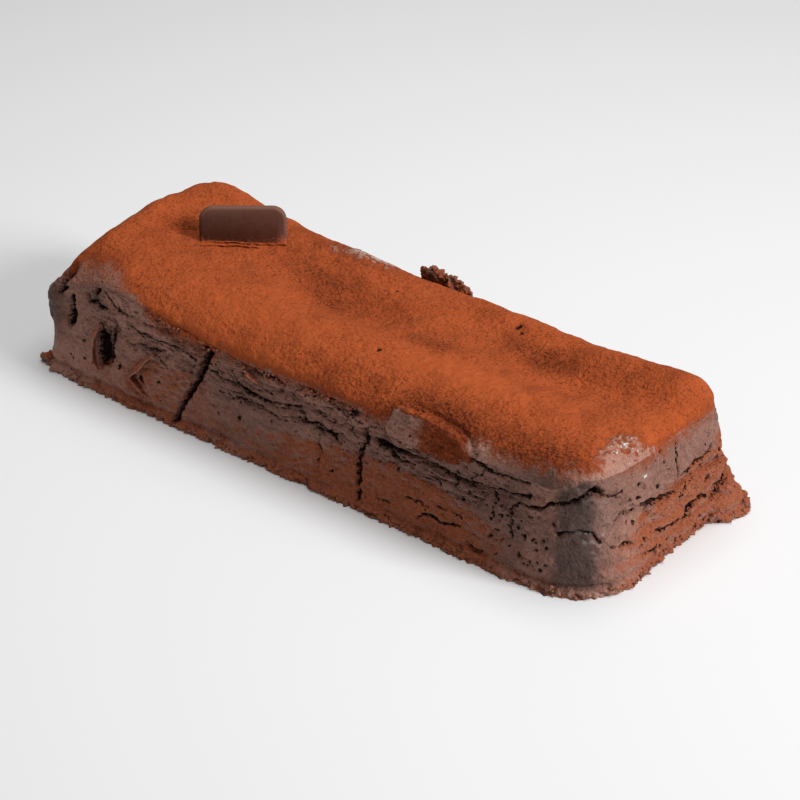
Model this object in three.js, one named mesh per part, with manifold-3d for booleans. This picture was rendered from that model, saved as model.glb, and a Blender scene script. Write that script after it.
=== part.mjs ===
// A flourless chocolate bar cake, dusted with cocoa, with a small chocolate plaque standing in its top.
// Millimetres, +Z up. X runs along the cake and Y across it, and the origin is the middle of its underside.
import * as THREE from "three";
import { mergeVertices } from "three/addons/utils/BufferGeometryUtils.js";
import Module from "manifold-3d";

const wasm = await Module();
wasm.setup();

// ---------------------------------------------------------------- driving sizes

// The rim is where the dusted top turns over into the sides, as a rounded rectangle.
const RIM = { x: [-121.5, 118], y: [-38.5, 42] };
const CORNER = { front: { left: 6, right: 13.5 }, back: { left: 12, right: 13 } };
const CROWN_HEIGHT = 44;
// How far the top takes to round over at each edge, measured inwards.
const SHOULDER = { left: 10, right: 12, front: 20, back: 11 };
const SHOULDER_RISE = 8; // usual height of the rounded shoulder
const SEGMENTS = { along: 60, across: 20 };

// Outward flare of each side below the rim, as [height over rim height, flare].
const FLARE = {
  front: [[0, 6.4], [0.1, 5.2], [0.22, 4.2], [0.5, 3], [0.72, 1.6], [0.82, 1.6], [1, 0]],
  right: [[0, 8.4], [0.1, 7.8], [0.25, 5.6], [0.42, 3.2], [0.52, 1.5], [0.8, 1], [1, 0]],
  back: [[0, 3.2], [0.12, 2.2], [0.4, 1.4], [0.75, 1.8], [1, 0]],
  left: [[0, 4.4], [0.1, 2.6], [0.35, 0.6], [0.66, 2.6], [0.85, 2], [1, 0]],
};

// ---------------------------------------------------------------- places on the rim

const lengthways = RIM.x[1] - RIM.x[0];
const crossways = RIM.y[1] - RIM.y[0];
const GIRTH = 2 * (lengthways + crossways);

// Distance round the rim, from the front left corner by the front, right end, back and left end.
const front = (x) => x - RIM.x[0];
const rightEnd = (y) => lengthways + y - RIM.y[0];
const back = (x) => lengthways + crossways + RIM.x[1] - x;
const leftEnd = (y) => 2 * lengthways + crossways + RIM.y[1] - y;

/** Eases between [place, value] pairs, and holds the end values outside them. */
function ease(pairs, at) {
  if (at <= pairs[0][0]) return pairs[0][1];
  for (let i = 1; i < pairs.length; i++) {
    const [p0, v0] = pairs[i - 1];
    const [p1, v1] = pairs[i];
    if (at <= p1) return v0 + (v1 - v0) * THREE.MathUtils.smoothstep(at, p0, p1);
  }
  return pairs[pairs.length - 1][1];
}

/** The same round the whole girth, where the last pair eases back into the first. */
const easeRound = (pairs, at) => ease([...pairs, [GIRTH + pairs[0][0], pairs[0][1]]], at);

// ---------------------------------------------------------------- the top

// Height of the crust along the back rim above the crown height, by x.
const BACK_RIM = [
  [-122, 2], [-106, 4.6], [-80, 0.8], [-62, -0.8], [-40, 0.4], [-18, -2], [30, 0], [60, -0.6], [84, 1.2],
  [103, 3.2], [116, 2],
];
// Soft hollows and swells of the top: centre x and y, reach x and y, rise.
const SWELLS = [
  { x: -106, y: 26, reach: [20, 16], rise: 1.4 }, // hump behind the plaque
  { x: -117, y: 4, reach: [17, 28], rise: 4.6 }, // full left end
  { x: -64, y: 27, reach: [9, 9], rise: 1.2 },
  { x: -60, y: -15, reach: [60, 9], rise: 1.6 }, // long ridge near the front
  { x: 60, y: -14, reach: [52, 8], rise: 1.8 },
  { x: -16, y: 5, reach: [25, 11], rise: -4.8 }, // hollow past the middle
  { x: -52, y: 20, reach: [22, 10], rise: -1.8 },
  { x: 72, y: 14, reach: [30, 12], rise: -4.6 }, // long hollow towards the right
  { x: 30, y: 20, reach: [14, 9], rise: -1.4 },
  { x: -118, y: -36, reach: [13, 13], rise: -4.4 }, // drooping front left corner
  { x: 112, y: -30, reach: [16, 14], rise: 1.6 },
];

/** Height of the dusted top before its edges round over. */
function crown(x, y) {
  const backness = THREE.MathUtils.smoothstep(y, 12, 38);
  let z = CROWN_HEIGHT + ease(BACK_RIM, x) * backness;
  for (const s of SWELLS) {
    const d = ((x - s.x) / s.reach[0]) ** 2 + ((y - s.y) / s.reach[1]) ** 2;
    z += s.rise * Math.exp(-d);
  }
  return z + 0.35 * ripple(x / 7, y / 6, 2);
}

/** Uneven swell between about -1 and 1 of two coordinates, the same each time. */
function ripple(p, q, seed) {
  return (
    (Math.sin(p + seed) * Math.cos(1.3 * q - 2.1 * seed) +
      0.5 * Math.sin(2.3 * p - 1.7 * q + 3.7 * seed) +
      0.3 * Math.sin(4.1 * p + 3.3 * q - seed)) / 1.8
  );
}

/** Spreads half of the grid evenly over the flat and the rounded shoulder: [distance, share of height]. */
function overShoulder(share, half, shoulder) {
  const flat = half - shoulder;
  const arc = 0.8 * (shoulder + SHOULDER_RISE); // length of the quarter of an oval
  const run = share * (flat + arc);
  if (run <= flat) return [run, 1];
  const turn = ((run - flat) / arc) * (Math.PI / 2);
  return [flat + shoulder * Math.sin(turn), Math.cos(turn)];
}

// ---------------------------------------------------------------- the sides

// Levels round the cake: rim, main crevice under the crust, two lower seams and the crumbly foot.
const RIM_LEVEL = [
  [front(-119), 33], [front(-92), 39], [front(-58), 36], [front(-28), 33.5], [front(10), 35],
  [front(42), 33.5], [front(75), 35], [front(104), 36], [rightEnd(-37), 40], [rightEnd(-10), 37],
  [rightEnd(38), 40], [back(60), 37], [back(-40), 36], [back(-105), 41], [leftEnd(20), 42],
  [leftEnd(-20), 39],
];
const CREVICE_LEVEL = [
  [front(-119), 29], [front(-86), 33], [front(-44), 31.5], [front(-17), 29.5], [front(20), 27.5],
  [front(60), 26.3], [front(88), 27], [front(106), 33], [rightEnd(-37), 37.5], [rightEnd(-22), 31.5],
  [rightEnd(-8), 20.5], [rightEnd(38), 20.5], [back(60), 26], [back(-40), 24], [leftEnd(10), 28],
];
const SEAM_LEVEL = [
  [front(-119), 21], [front(-60), 24], [front(-20), 24.5], [front(28), 22.5], [front(56), 19.5],
  [front(90), 20.5], [front(107), 17], [rightEnd(-37), 20], [rightEnd(-26), 16.5], [rightEnd(-6), 13.4],
  [rightEnd(16), 11.5], [rightEnd(40), 13.5], [back(40), 17], [back(-60), 15], [leftEnd(10), 17],
];
const LOW_LEVEL = [
  [front(-119), 8], [front(-50), 9], [front(20), 7], [front(56), 12.5], [front(80), 9],
  [rightEnd(-37), 9], [rightEnd(-5), 7], [rightEnd(30), 8.6], [back(40), 9], [back(-60), 8],
];
const FOOT_LEVEL = [[front(-119), 3], [front(0), 3.6], [rightEnd(0), 3.4], [back(0), 3.2]];

// How deep each level is cut into the side, round the girth.
const CREVICE_DEPTH = [
  [front(-119), 0.6], [front(-72), 1.2], [front(-46), 3], [front(-20), 2.6], [front(20), 3], [front(70), 4],
  [front(100), 3.2], [rightEnd(-37), 3.6], [rightEnd(-18), 0.8], [rightEnd(0), 3.2], [rightEnd(36), 2.8],
  [back(60), 2.2], [back(0), 1], [back(-60), 2], [leftEnd(10), 1],
];
const SEAM_DEPTH = [
  [front(-119), 0.2], [front(-60), 1], [front(-20), 0.8], [front(30), 2], [front(60), 1.4], [front(84), 0.3],
  [front(108), 2.2], [rightEnd(-30), 1.6], [rightEnd(-16), 0.4], [rightEnd(30), 3], [back(60), 1],
  [back(-60), 1.2],
];
const LOW_DEPTH = [
  [front(-119), 0.1], [front(30), 0.3], [front(66), 1.6], [front(96), 0.2], [rightEnd(-20), 0.2],
  [rightEnd(24), 2], [back(60), 0.5], [back(-60), 0.8],
];
// How far the lowest part of the side reaches beyond, or stays short of, its flare.
const SKIRT_HEIGHT = 17;
const SKIRT_REACH = [
  [front(-119), 0], [front(90), -0.2], [front(108), -0.9], [rightEnd(-38), -1], [rightEnd(-20), -0.4],
  [rightEnd(-4), -2.6], [rightEnd(10), -4], [rightEnd(25), -4.6], [rightEnd(31), -1], [rightEnd(38), -0.4],
  [back(100), 0],
];
const HALF_GAP = 1; // half the open height of a crevice or seam

/** Heights of the side's rows at one place on the rim, from the rim down, as [height, cut depth]. */
function rows(at) {
  const [rim, crevice, seam, low, foot] = [RIM_LEVEL, CREVICE_LEVEL, SEAM_LEVEL, LOW_LEVEL, FOOT_LEVEL].map(
    (level) => easeRound(level, at),
  );
  const cut = (level, depth) => [
    [level + HALF_GAP, 0],
    [level, depth],
    [level - HALF_GAP, 0],
  ];
  return [
    [rim, 0],
    [rim + (crevice + HALF_GAP - rim) * 0.5, 0],
    ...cut(crevice, easeRound(CREVICE_DEPTH, at)),
    [(crevice + seam) / 2, 0],
    ...cut(seam, easeRound(SEAM_DEPTH, at)),
    ...cut(low, easeRound(LOW_DEPTH, at)),
    [foot, 0.9],
    [foot * 0.55, -0.5],
    [0, 0],
  ];
}
const ROW_COUNT = rows(0).length - 1;

// Lobes that swell out beyond the flare: the outline normal each faces, its spread and its reach by height.
const BACK_RIGHT_LOBE = {
  facing: [0.8, 0.6],
  spread: 0.45,
  reach: [[1, 6.7], [7, 5.3], [12, 4], [20, 2.2], [27, 0.4], [31, 0]],
};
const FRONT_LEFT_LOBE = {
  facing: [-0.8, -0.6],
  spread: 0.5,
  reach: [[0, 0.6], [9, 0.9], [16, 1.6], [23, 3], [29, 3.6], [34, 2]],
};

/** Outward flare at a height, mixed from the sides that the outline faces there. */
function flareAt(nx, ny, z, rim) {
  const share = z / rim;
  const alongX = ease(nx > 0 ? FLARE.right : FLARE.left, share);
  const alongY = ease(ny > 0 ? FLARE.back : FLARE.front, share);
  let flare = alongX * nx * nx + alongY * ny * ny;
  for (const lobe of [BACK_RIGHT_LOBE, FRONT_LEFT_LOBE]) {
    const off = Math.hypot(nx - lobe.facing[0], ny - lobe.facing[1]) / lobe.spread;
    flare += ease(lobe.reach, z) * Math.exp(-off * off);
  }
  return flare;
}

/** Rounds the corners of the rim: moves a point of the rectangle in, and gives the way it faces. */
function roundCorner(x, y) {
  const radius = CORNER[y < 0 ? "front" : "back"][x < 0 ? "left" : "right"];
  const cx = THREE.MathUtils.clamp(x, RIM.x[0] + radius, RIM.x[1] - radius);
  const cy = THREE.MathUtils.clamp(y, RIM.y[0] + radius, RIM.y[1] - radius);
  const [dx, dy] = [Math.abs(x - cx), Math.abs(y - cy)];
  if (dx === 0 && dy === 0) return { x, y, nx: 0, ny: 0 };
  const reach = Math.max(dx, dy);
  const turn = dx >= dy ? (Math.PI / 4) * (dy / dx) : Math.PI / 2 - (Math.PI / 4) * (dx / dy);
  const [nx, ny] = [Math.cos(turn) * Math.sign(x - cx), Math.sin(turn) * Math.sign(y - cy)];
  return { x: cx + reach * nx, y: cy + reach * ny, nx, ny };
}

/** Distance round the rim of a point on the rim's rectangle. */
function placeOnRim(x, y) {
  const near = 1e-6;
  if (y <= RIM.y[0] + near) return front(x);
  if (x >= RIM.x[1] - near) return rightEnd(y);
  if (y >= RIM.y[1] - near) return back(x);
  return leftEnd(y);
}

/** Height of the rim for any point of the top, eased from the front rim to the back one. */
function rimUnder(x, y) {
  const across = THREE.MathUtils.smoothstep(y, RIM.y[0], RIM.y[1]);
  const along = THREE.MathUtils.smoothstep(x, RIM.x[0], RIM.x[1]);
  const rimAt = (place) => easeRound(RIM_LEVEL, place);
  const frontBack = THREE.MathUtils.lerp(rimAt(front(x)), rimAt(back(x)), across);
  const leftRight = THREE.MathUtils.lerp(rimAt(leftEnd(y)), rimAt(rightEnd(y)), along);
  const toEnd = Math.min(x - RIM.x[0], RIM.x[1] - x);
  const toSide = Math.min(y - RIM.y[0], RIM.y[1] - y);
  const sum = toEnd + toSide;
  return sum < 1e-6 ? frontBack : (frontBack * toEnd + leftRight * toSide) / sum;
}

/** Moves the corners of a plain block of unit half sizes, +Z up, into the cake's form. */
function cakePoint(u, v, w) {
  const midX = (RIM.x[0] + RIM.x[1]) / 2;
  const midY = (RIM.y[0] + RIM.y[1]) / 2;
  const [runX, keepX] = overShoulder(Math.abs(u), lengthways / 2, u < 0 ? SHOULDER.left : SHOULDER.right);
  const [runY, keepY] = overShoulder(Math.abs(v), crossways / 2, v < 0 ? SHOULDER.front : SHOULDER.back);
  const rectX = midX + Math.sign(u) * runX;
  const rectY = midY + Math.sign(v) * runY;
  const p = roundCorner(rectX, rectY);
  const row = Math.round((1 - w) * ROW_COUNT);
  if (row === 0) {
    const rim = rimUnder(rectX, rectY);
    const z = rim + (crown(p.x, p.y) - rim) * keepX * keepY;
    return [p.x, p.y, z];
  }
  const at = placeOnRim(rectX, rectY);
  const onRim = Math.max(Math.abs(u), Math.abs(v));
  const [z, cut] = rows(at)[row];
  const wobble = 0.7 * ripple(at / 9, z / 6, 1) + 0.5 * ripple(at / 3.1, z / 4, 5);
  const skirt = easeRound(SKIRT_REACH, at) * Math.max(0, 1 - z / SKIRT_HEIGHT);
  const fringe = row >= ROW_COUNT - 1 ? 0.6 * ripple(at * 0.8, z, 9) : 0;
  const out = (flareAt(p.nx, p.ny, z, rows(at)[0][0]) - cut + wobble + skirt + fringe) * onRim ** 6;
  return [p.x + p.nx * out, p.y + p.ny * out, z];
}

/** The cake's body: a block whose corners are moved on to the cake's form. */
function cakeBody() {
  const block = new THREE.BoxGeometry(2, 2, 2, SEGMENTS.along, SEGMENTS.across, ROW_COUNT);
  const position = block.getAttribute("position");
  for (let i = 0; i < position.count; i++) {
    const w = (position.getZ(i) + 1) / 2;
    position.setXYZ(i, ...cakePoint(position.getX(i), position.getY(i), w));
  }
  return block;
}

// ---------------------------------------------------------------- joining and cutting

/** A closed geometry as a solid that can be joined and cut. */
function solidOf(geometry) {
  const bare = geometry.clone();
  for (const name of ["normal", "uv"]) bare.deleteAttribute(name);
  const merged = mergeVertices(bare, 1e-4);
  return new wasm.Manifold(
    new wasm.Mesh({
      numProp: 3,
      vertProperties: merged.getAttribute("position").array,
      triVerts: new Uint32Array(merged.index.array),
    }),
  );
}

/** A solid as a geometry for a mesh. */
function geometryOf(solid) {
  const mesh = solid.getMesh();
  return new THREE.BufferGeometry()
    .setAttribute("position", new THREE.BufferAttribute(mesh.vertProperties, 3))
    .setIndex(new THREE.BufferAttribute(mesh.triVerts, 1));
}

// The way each face of the cake is drawn on: across, up and outwards.
const FACES = {
  front: [new THREE.Vector3(1, 0, 0), new THREE.Vector3(0, 0, 1), new THREE.Vector3(0, -1, 0)],
  right: [new THREE.Vector3(0, 1, 0), new THREE.Vector3(0, 0, 1), new THREE.Vector3(1, 0, 0)],
};

/** A prism on one face, drawn across and up it. It starts at an outward distance and runs outwards. */
function prismOn(face, outline, start, depth) {
  const shape = new THREE.Shape(outline.map(([across, z]) => new THREE.Vector2(across, z)));
  const prism = new THREE.ExtrudeGeometry(shape, { depth, bevelEnabled: false, steps: 1 });
  return prism.translate(0, 0, start).applyMatrix4(new THREE.Matrix4().makeBasis(...FACES[face]));
}

/** Outline of a slit or ridge that follows a path of [across, height, width]. */
function ribbon(path) {
  const side = (sign) =>
    path.map(([across, z, width], i) => {
      const [before, after] = [path[Math.max(0, i - 1)], path[Math.min(path.length - 1, i + 1)]];
      const run = new THREE.Vector2(after[0] - before[0], after[1] - before[1]).normalize();
      return [across - (sign * run.y * width) / 2, z + (sign * run.x * width) / 2];
    });
  return [...side(-1), ...side(1).reverse()];
}

// Slits and hollows in the sides: the outward distance of each floor, and its path.
const FRONT_SLITS = {
  tallCleft: [34.5, [[-43.2, 31.5, 1.6], [-44.6, 27, 3.6], [-47.5, 20, 2.6], [-51.5, 12, 2], [-57.5, -1, 2]]],
  hollowBehindFlap: [36.5, [[-95.2, 25, 1.6], [-94.4, 20, 4], [-94.4, 13, 4], [-95.4, 7.8, 1.6]]],
  hollowPastIt: [35.5, [[-87.4, 32, 1.4], [-88.6, 26, 3.6], [-89.4, 16, 3.6], [-90.4, 9, 1.8]]],
  webBetween: [38.6, [[-91.6, 25, 2], [-92, 16, 3.6], [-92.6, 10, 2]]],
  narrowHollow: [37, [[-103.2, 35, 1.6], [-103.6, 29, 2.6], [-104.6, 23, 1.6]]],
  cornerHollow: [36.5, [[-108.5, 39, 1.6], [-112, 33, 4], [-116, 27, 3]]],
  tornLeftRim: [34.5, [[-94, 39, 2], [-96, 35, 5], [-91.5, 31, 3]]],
  tornMiddleRim: [36, [[-22, 31, 1.6], [-15, 33.6, 3.6], [-8, 31.6, 1.6]]],
  nickByRidge: [39.5, [[-75.5, 16, 0.8], [-77.5, 10.5, 1.8], [-74, 8, 0.8]]],
  uprightGroove: [40.2, [[29, 24, 1.4], [29.4, 16, 2.2], [27.4, 8, 2], [26.4, -1, 1.4]]],
  faintGroove: [39.6, [[9, 24, 1], [9.8, 18, 1.6], [8.4, 11, 1]]],
};
const RIGHT_SLITS = {
  cornerHole: [109, [[-37.5, 36.4, 1.6], [-33.5, 38, 3.4], [-30.4, 37.2, 1.4]]],
  cornerCrack: [115.5, [[-26, 32.6, 1], [-22, 30.8, 2], [-18, 30.4, 0.8]]],
  holeUnderCrust: [116.5, [[-3, 17.8, 0.8], [2, 17.6, 1.8], [8, 19.4, 0.8]]],
  farHoleUnderCrust: [116, [[22, 21, 0.8], [27, 21, 2.4], [33, 22.4, 1]]],
  largestHole: [115.5, [[27, 9.4, 1.6], [34, 11.4, 3.4], [41, 14, 2.4]]],
  nearCrack: [118, [[-27, 15.8, 0.8], [-22, 14.6, 2], [-18, 14.4, 0.8]]],
  lowHole: [119, [[6, 8, 1], [14, 9, 2.2], [20, 9.2, 1]]],
};
const BEYOND_SIDES = 20; // how far a cutter runs on past its slit's floor

// Thin flakes of crust that stand off the front: where each starts, how far it runs out, and its path.
const FRONT_FLAKES = {
  curledFlap: [37.5, 5.6, [[-98.4, 26, 0.5], [-99.4, 21, 1.6], [-99.6, 15, 2], [-97.6, 7.4, 0.6]]],
  bentRidge: [39, 4.1, [[-71, 21.6, 0.6], [-75, 16, 1.2], [-78.6, 10.4, 1.8], [-73.5, 7, 1.2], [-68, 4.4, 0.6]]],
  sliverUnderRim: [36.5, 4.4, [[-33, 33.4, 0.5], [-29.6, 29.8, 1.2], [-26.4, 26.4, 0.6]]],
};

/** Leans a slab in or out about a line that runs along X. */
const leaning = (slab, y, z, degrees) =>
  slab.translate(0, -y, -z).rotateX(THREE.MathUtils.degToRad(degrees)).translate(0, y, z);

/** The slab of crust that has slid out over the front rim. */
function slidSlab() {
  const outline = [
    [37, 31], [38.4, 37.4], [41, 41.4], [52, 40.4], [61, 38.6], [69, 34.6], [66, 31], [54, 28.6], [44, 28.8],
  ];
  return leaning(prismOn("front", outline, 33, 7.4), -40, 31, -24);
}

/** The torn shard of crust that stands up beyond the back rim. */
function backShard() {
  const outline = [
    [-16, 34], [-15.6, 42.4], [-12.6, 44.4], [-8, 43.2], [-3, 43.8], [1, 42.8], [6, 40.4], [7, 34],
  ];
  return leaning(prismOn("front", outline, -42.4, 2.2), 41, 38, -14);
}

// Crumb lumps that stick out of the foot: x, y, height of the middle and radius.
const LUMPS = [
  [-126.4, -42, 2.4, 2.8],
  [-123.2, -40.4, 3.4, 2.9],
  [126, 41.6, 2.8, 3],
  [122.9, 44.4, 4.2, 2.4],
  [123.6, 28.4, 2.6, 2.9],
];
const LUMP_FLATNESS = 0.75;

/** A crumb lump: a flattened ball of low, uneven facets. */
function lump([x, y, z, radius], seed) {
  const ball = new THREE.IcosahedronGeometry(radius, 1);
  const position = ball.getAttribute("position");
  for (let i = 0; i < position.count; i++) {
    const at = new THREE.Vector3().fromBufferAttribute(position, i);
    at.multiplyScalar(1 + 0.3 * ripple(at.x * 1.3, at.y * 1.3 + at.z, seed));
    position.setXYZ(i, at.x, at.y, at.z * LUMP_FLATNESS);
  }
  return ball.translate(x, y, z);
}

// ---------------------------------------------------------------- the plaque

const PLAQUE = { width: 31.5, height: 21, thick: 3, corner: 5, edge: 0.7, sunk: 7 };
const PLAQUE_GAP = 0.3;
const PLAQUE_POSE = new THREE.Matrix4()
  .makeTranslation(-77.4, 13.6, 43.2)
  .multiply(new THREE.Matrix4().makeRotationZ(THREE.MathUtils.degToRad(41)))
  .multiply(new THREE.Matrix4().makeRotationX(THREE.MathUtils.degToRad(90 - 8)));

/** The plaque in its own frame, standing up Y from the cake's surface. Extra thickness makes its slot. */
function plaqueGeometry(extra) {
  const half = PLAQUE.width / 2 - PLAQUE.edge + extra;
  const bottom = -PLAQUE.sunk + PLAQUE.edge - extra;
  const top = PLAQUE.height - PLAQUE.sunk - PLAQUE.edge + extra;
  const r = PLAQUE.corner - PLAQUE.edge;
  const outline = new THREE.Shape()
    .moveTo(-half + r, bottom)
    .lineTo(half - r, bottom)
    .absarc(half - r, bottom + r, r, -Math.PI / 2, 0)
    .absarc(half - r, top - r, r, 0, Math.PI / 2)
    .absarc(-half + r, top - r, r, Math.PI / 2, Math.PI)
    .absarc(-half + r, bottom + r, r, Math.PI, 1.5 * Math.PI);
  const plate = new THREE.ExtrudeGeometry(outline, {
    depth: PLAQUE.thick - 2 * PLAQUE.edge + 2 * extra,
    bevelThickness: PLAQUE.edge,
    bevelSize: PLAQUE.edge,
    bevelSegments: 2,
    curveSegments: 6,
  });
  return plate.translate(0, 0, -PLAQUE.thick / 2 + PLAQUE.edge - extra);
}

// ---------------------------------------------------------------- the model

const FACET_MERGE = 0.03; // how far the surface may move where small facets are merged

/** The cake in one solid: its body with slab, shard and lumps joined, slits cut and flakes added. */
function cakeGeometry() {
  let cake = solidOf(cakeBody());
  for (const piece of [slidSlab(), backShard(), ...LUMPS.map(lump)]) cake = cake.add(solidOf(piece));
  for (const [face, slits] of [["front", FRONT_SLITS], ["right", RIGHT_SLITS]]) {
    for (const [floor, path] of Object.values(slits)) {
      cake = cake.subtract(solidOf(prismOn(face, ribbon(path), floor, BEYOND_SIDES)));
    }
  }
  for (const [start, reach, path] of Object.values(FRONT_FLAKES)) {
    cake = cake.add(solidOf(prismOn("front", ribbon(path), start, reach)));
  }
  const slot = solidOf(plaqueGeometry(PLAQUE_GAP).applyMatrix4(PLAQUE_POSE));
  return geometryOf(cake.subtract(slot).simplify(FACET_MERGE));
}

const cocoaDusted = new THREE.MeshStandardMaterial({ color: 0x9c4f2c, roughness: 0.95, metalness: 0 });
const darkChocolate = new THREE.MeshStandardMaterial({ color: 0x3b2019, roughness: 0.4, metalness: 0 });

const cake = new THREE.Mesh(cakeGeometry(), cocoaDusted);
cake.name = "cake";
const plaque = new THREE.Mesh(plaqueGeometry(0), darkChocolate);
plaque.name = "chocolate_plaque";
plaque.applyMatrix4(PLAQUE_POSE);

// Both pieces shift together, so that the middle of the box that holds them is on the origin.
const pieces = new THREE.Group();
pieces.add(cake, plaque);
const middle = new THREE.Box3().setFromObject(pieces, true).getCenter(new THREE.Vector3());
pieces.position.set(-middle.x, -middle.y, 0);

const group = new THREE.Group();
group.add(pieces);
export default group;
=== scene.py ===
"""Looks of a flourless chocolate bar cake, dusted with cocoa, with a plain chocolate plaque in its top.

Sizes are millimetres in the row's frame until a mesh is finished: X along the cake, Y across it, +Z up, and
the origin in the middle of its underside.
"""

import logging
import math
import random
from dataclasses import dataclass, field
from enum import Enum
from typing import Callable, Mapping, Sequence, Union

import bmesh
import bpy
import numpy as np
from mathutils import Euler, Matrix, Vector, noise


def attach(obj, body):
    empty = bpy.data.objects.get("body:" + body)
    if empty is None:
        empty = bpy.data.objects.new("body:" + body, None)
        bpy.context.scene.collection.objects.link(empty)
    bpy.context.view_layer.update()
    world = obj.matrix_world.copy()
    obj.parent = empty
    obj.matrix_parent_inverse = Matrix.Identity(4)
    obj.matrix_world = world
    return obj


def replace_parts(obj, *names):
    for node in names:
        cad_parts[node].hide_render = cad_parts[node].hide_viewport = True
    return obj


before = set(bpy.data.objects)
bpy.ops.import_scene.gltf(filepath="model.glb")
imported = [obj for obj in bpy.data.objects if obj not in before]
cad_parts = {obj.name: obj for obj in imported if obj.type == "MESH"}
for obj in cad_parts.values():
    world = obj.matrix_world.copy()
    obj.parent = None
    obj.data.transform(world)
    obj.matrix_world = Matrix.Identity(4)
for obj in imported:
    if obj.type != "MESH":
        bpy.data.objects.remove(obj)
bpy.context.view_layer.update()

MM = 0.001
BODY = "root"
Pairs = Sequence[tuple[float, float]]
Array = np.ndarray
Amount = Union[Array, float]
log = logging.getLogger("cake")


# ---------------------------------------------------------------- curves and noise

def smooth(value: Array, low: float, high: float) -> Array:
    """Eases from 0 at low to 1 at high.

    Args:
        value: Where to look.
        low: Value that gives 0.
        high: Value that gives 1.

    Returns:
        The eased share.
    """
    share = np.clip((value - low) / (high - low), 0.0, 1.0)
    return share * share * (3.0 - 2.0 * share)


def fade(value: Array, low: float, high: float) -> Array:
    """Eases from 1 at low to 0 at high."""
    return 1 - smooth(value, low, high)


def ease(pairs: Pairs, at: Array) -> Array:
    """Eases between (place, value) pairs, and holds the end values outside them.

    Args:
        pairs: Places in rising order, with their values.
        at: Places to look up.

    Returns:
        The value at each place.
    """
    at = np.asarray(at, float)
    out = np.full(at.shape, float(pairs[0][1]))
    for (low, before), (high, after) in zip(pairs, pairs[1:]):
        out = np.where(at > low, before + (after - before) * smooth(at, low, high), out)
    return out


def ripple(p: Array, q: Array, seed: float) -> Array:
    """Uneven swell between about -1 and 1 of two coordinates, the same each time.

    Args:
        p: First coordinate.
        q: Second coordinate.
        seed: Picks the swell.

    Returns:
        The swell at each point.
    """
    long_wave = np.sin(p + seed) * np.cos(1.3 * q - 2.1 * seed)
    cross_wave = 0.5 * np.sin(2.3 * p - 1.7 * q + 3.7 * seed)
    short_wave = 0.3 * np.sin(4.1 * p + 3.3 * q - seed)
    return (long_wave + cross_wave + short_wave) / 1.8


def rough(points: Array, size: Sequence[float], octaves: int, seed: int) -> Array:
    """Fractal noise between about -1 and 1.

    Args:
        points: One point a row.
        size: Size of the coarsest lumps along each axis.
        octaves: How many finer layers it has.
        seed: Picks the noise.

    Returns:
        One value a point.
    """
    moved = points / np.asarray(size, float) + 37.7 * seed
    return np.array([noise.fractal(p, 1.0, 2.0, octaves) for p in moved.tolist()])


def ridged(points: Array, size: Sequence[float], seed: int) -> Array:
    """Noise with sharp creases: 1 in a crease, falling to 0 away from it.

    Args:
        points: One point a row.
        size: Spacing of the creases along each axis.
        seed: Picks the noise.

    Returns:
        One value a point.
    """
    moved = points / np.asarray(size, float) + 37.7 * seed
    return np.array([1.0 - min(1.0, 2.2 * abs(noise.noise(p))) for p in moved.tolist()])


@dataclass(frozen=True)
class Grain:
    """Unevenness: its height, the size of its coarsest lumps, how many finer layers it has, and its seed."""

    height: float
    size: tuple[float, float, float]
    layers: int
    seed: int

    def at(self, points: Array) -> Array:
        """Its height at points, one a row."""
        return self.height * rough(points, self.size, self.layers, self.seed)


# ---------------------------------------------------------------- the cake's form

RIM_X = (-121.5, 118.0)
RIM_Y = (-38.5, 42.0)
LENGTH = RIM_X[1] - RIM_X[0]
WIDTH = RIM_Y[1] - RIM_Y[0]
GIRTH = 2 * (LENGTH + WIDTH)
SHIFT = np.array((0.02, -0.58, 0.0))  # puts the middle of the model's box on the origin


def front(x: float) -> float:
    """Distance round the rim of a place on the front, from the front left corner."""
    return x - RIM_X[0]


def right(y: float) -> float:
    """Distance round the rim of a place on the right end."""
    return LENGTH + y - RIM_Y[0]


def back(x: float) -> float:
    """Distance round the rim of a place on the back."""
    return LENGTH + WIDTH + RIM_X[1] - x


def left(y: float) -> float:
    """Distance round the rim of a place on the left end."""
    return 2 * LENGTH + WIDTH + RIM_Y[1] - y


SIDES: Mapping[str, Callable[[float], float]] = {"front": front, "right": right, "back": back, "left": left}


def all_round(**sides: Pairs) -> Pairs:
    """Joins what the sides say, as pairs of (place, value), into pairs of (distance round the rim, value).

    Args:
        sides: Pairs for the front, right, back and left, in this order; places are x or y.

    Returns:
        The joined pairs.
    """
    return tuple((SIDES[side](at), value) for side, pairs in sides.items() for at, value in pairs)


def round_girth(pairs: Pairs, at: Array) -> Array:
    """Eases between pairs of (distance round the rim, value), and from the last back into the first.

    Args:
        pairs: Places round the rim in rising order, with their values.
        at: Places to look up.

    Returns:
        The value at each place.
    """
    return ease([*pairs, (GIRTH + pairs[0][0], pairs[0][1])], at)


@dataclass(frozen=True)
class Swell:
    """A soft spot: its centre, its reach along and across, its height, and how sharply it ends across."""

    x: float
    y: float
    along: float
    across: float
    rise: float
    fall: int = 2

    def over(self, x: Array, y: Array) -> Array:
        """Height it adds at points."""
        off = ((x - self.x) / self.along) ** 2 + ((y - self.y) / self.across) ** self.fall
        return self.rise * np.exp(-off)


def total(spots: Sequence[Swell], x: Array, y: Array) -> Array:
    """Height that soft spots add at points."""
    return sum(spot.over(x, y) for spot in spots)


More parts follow.
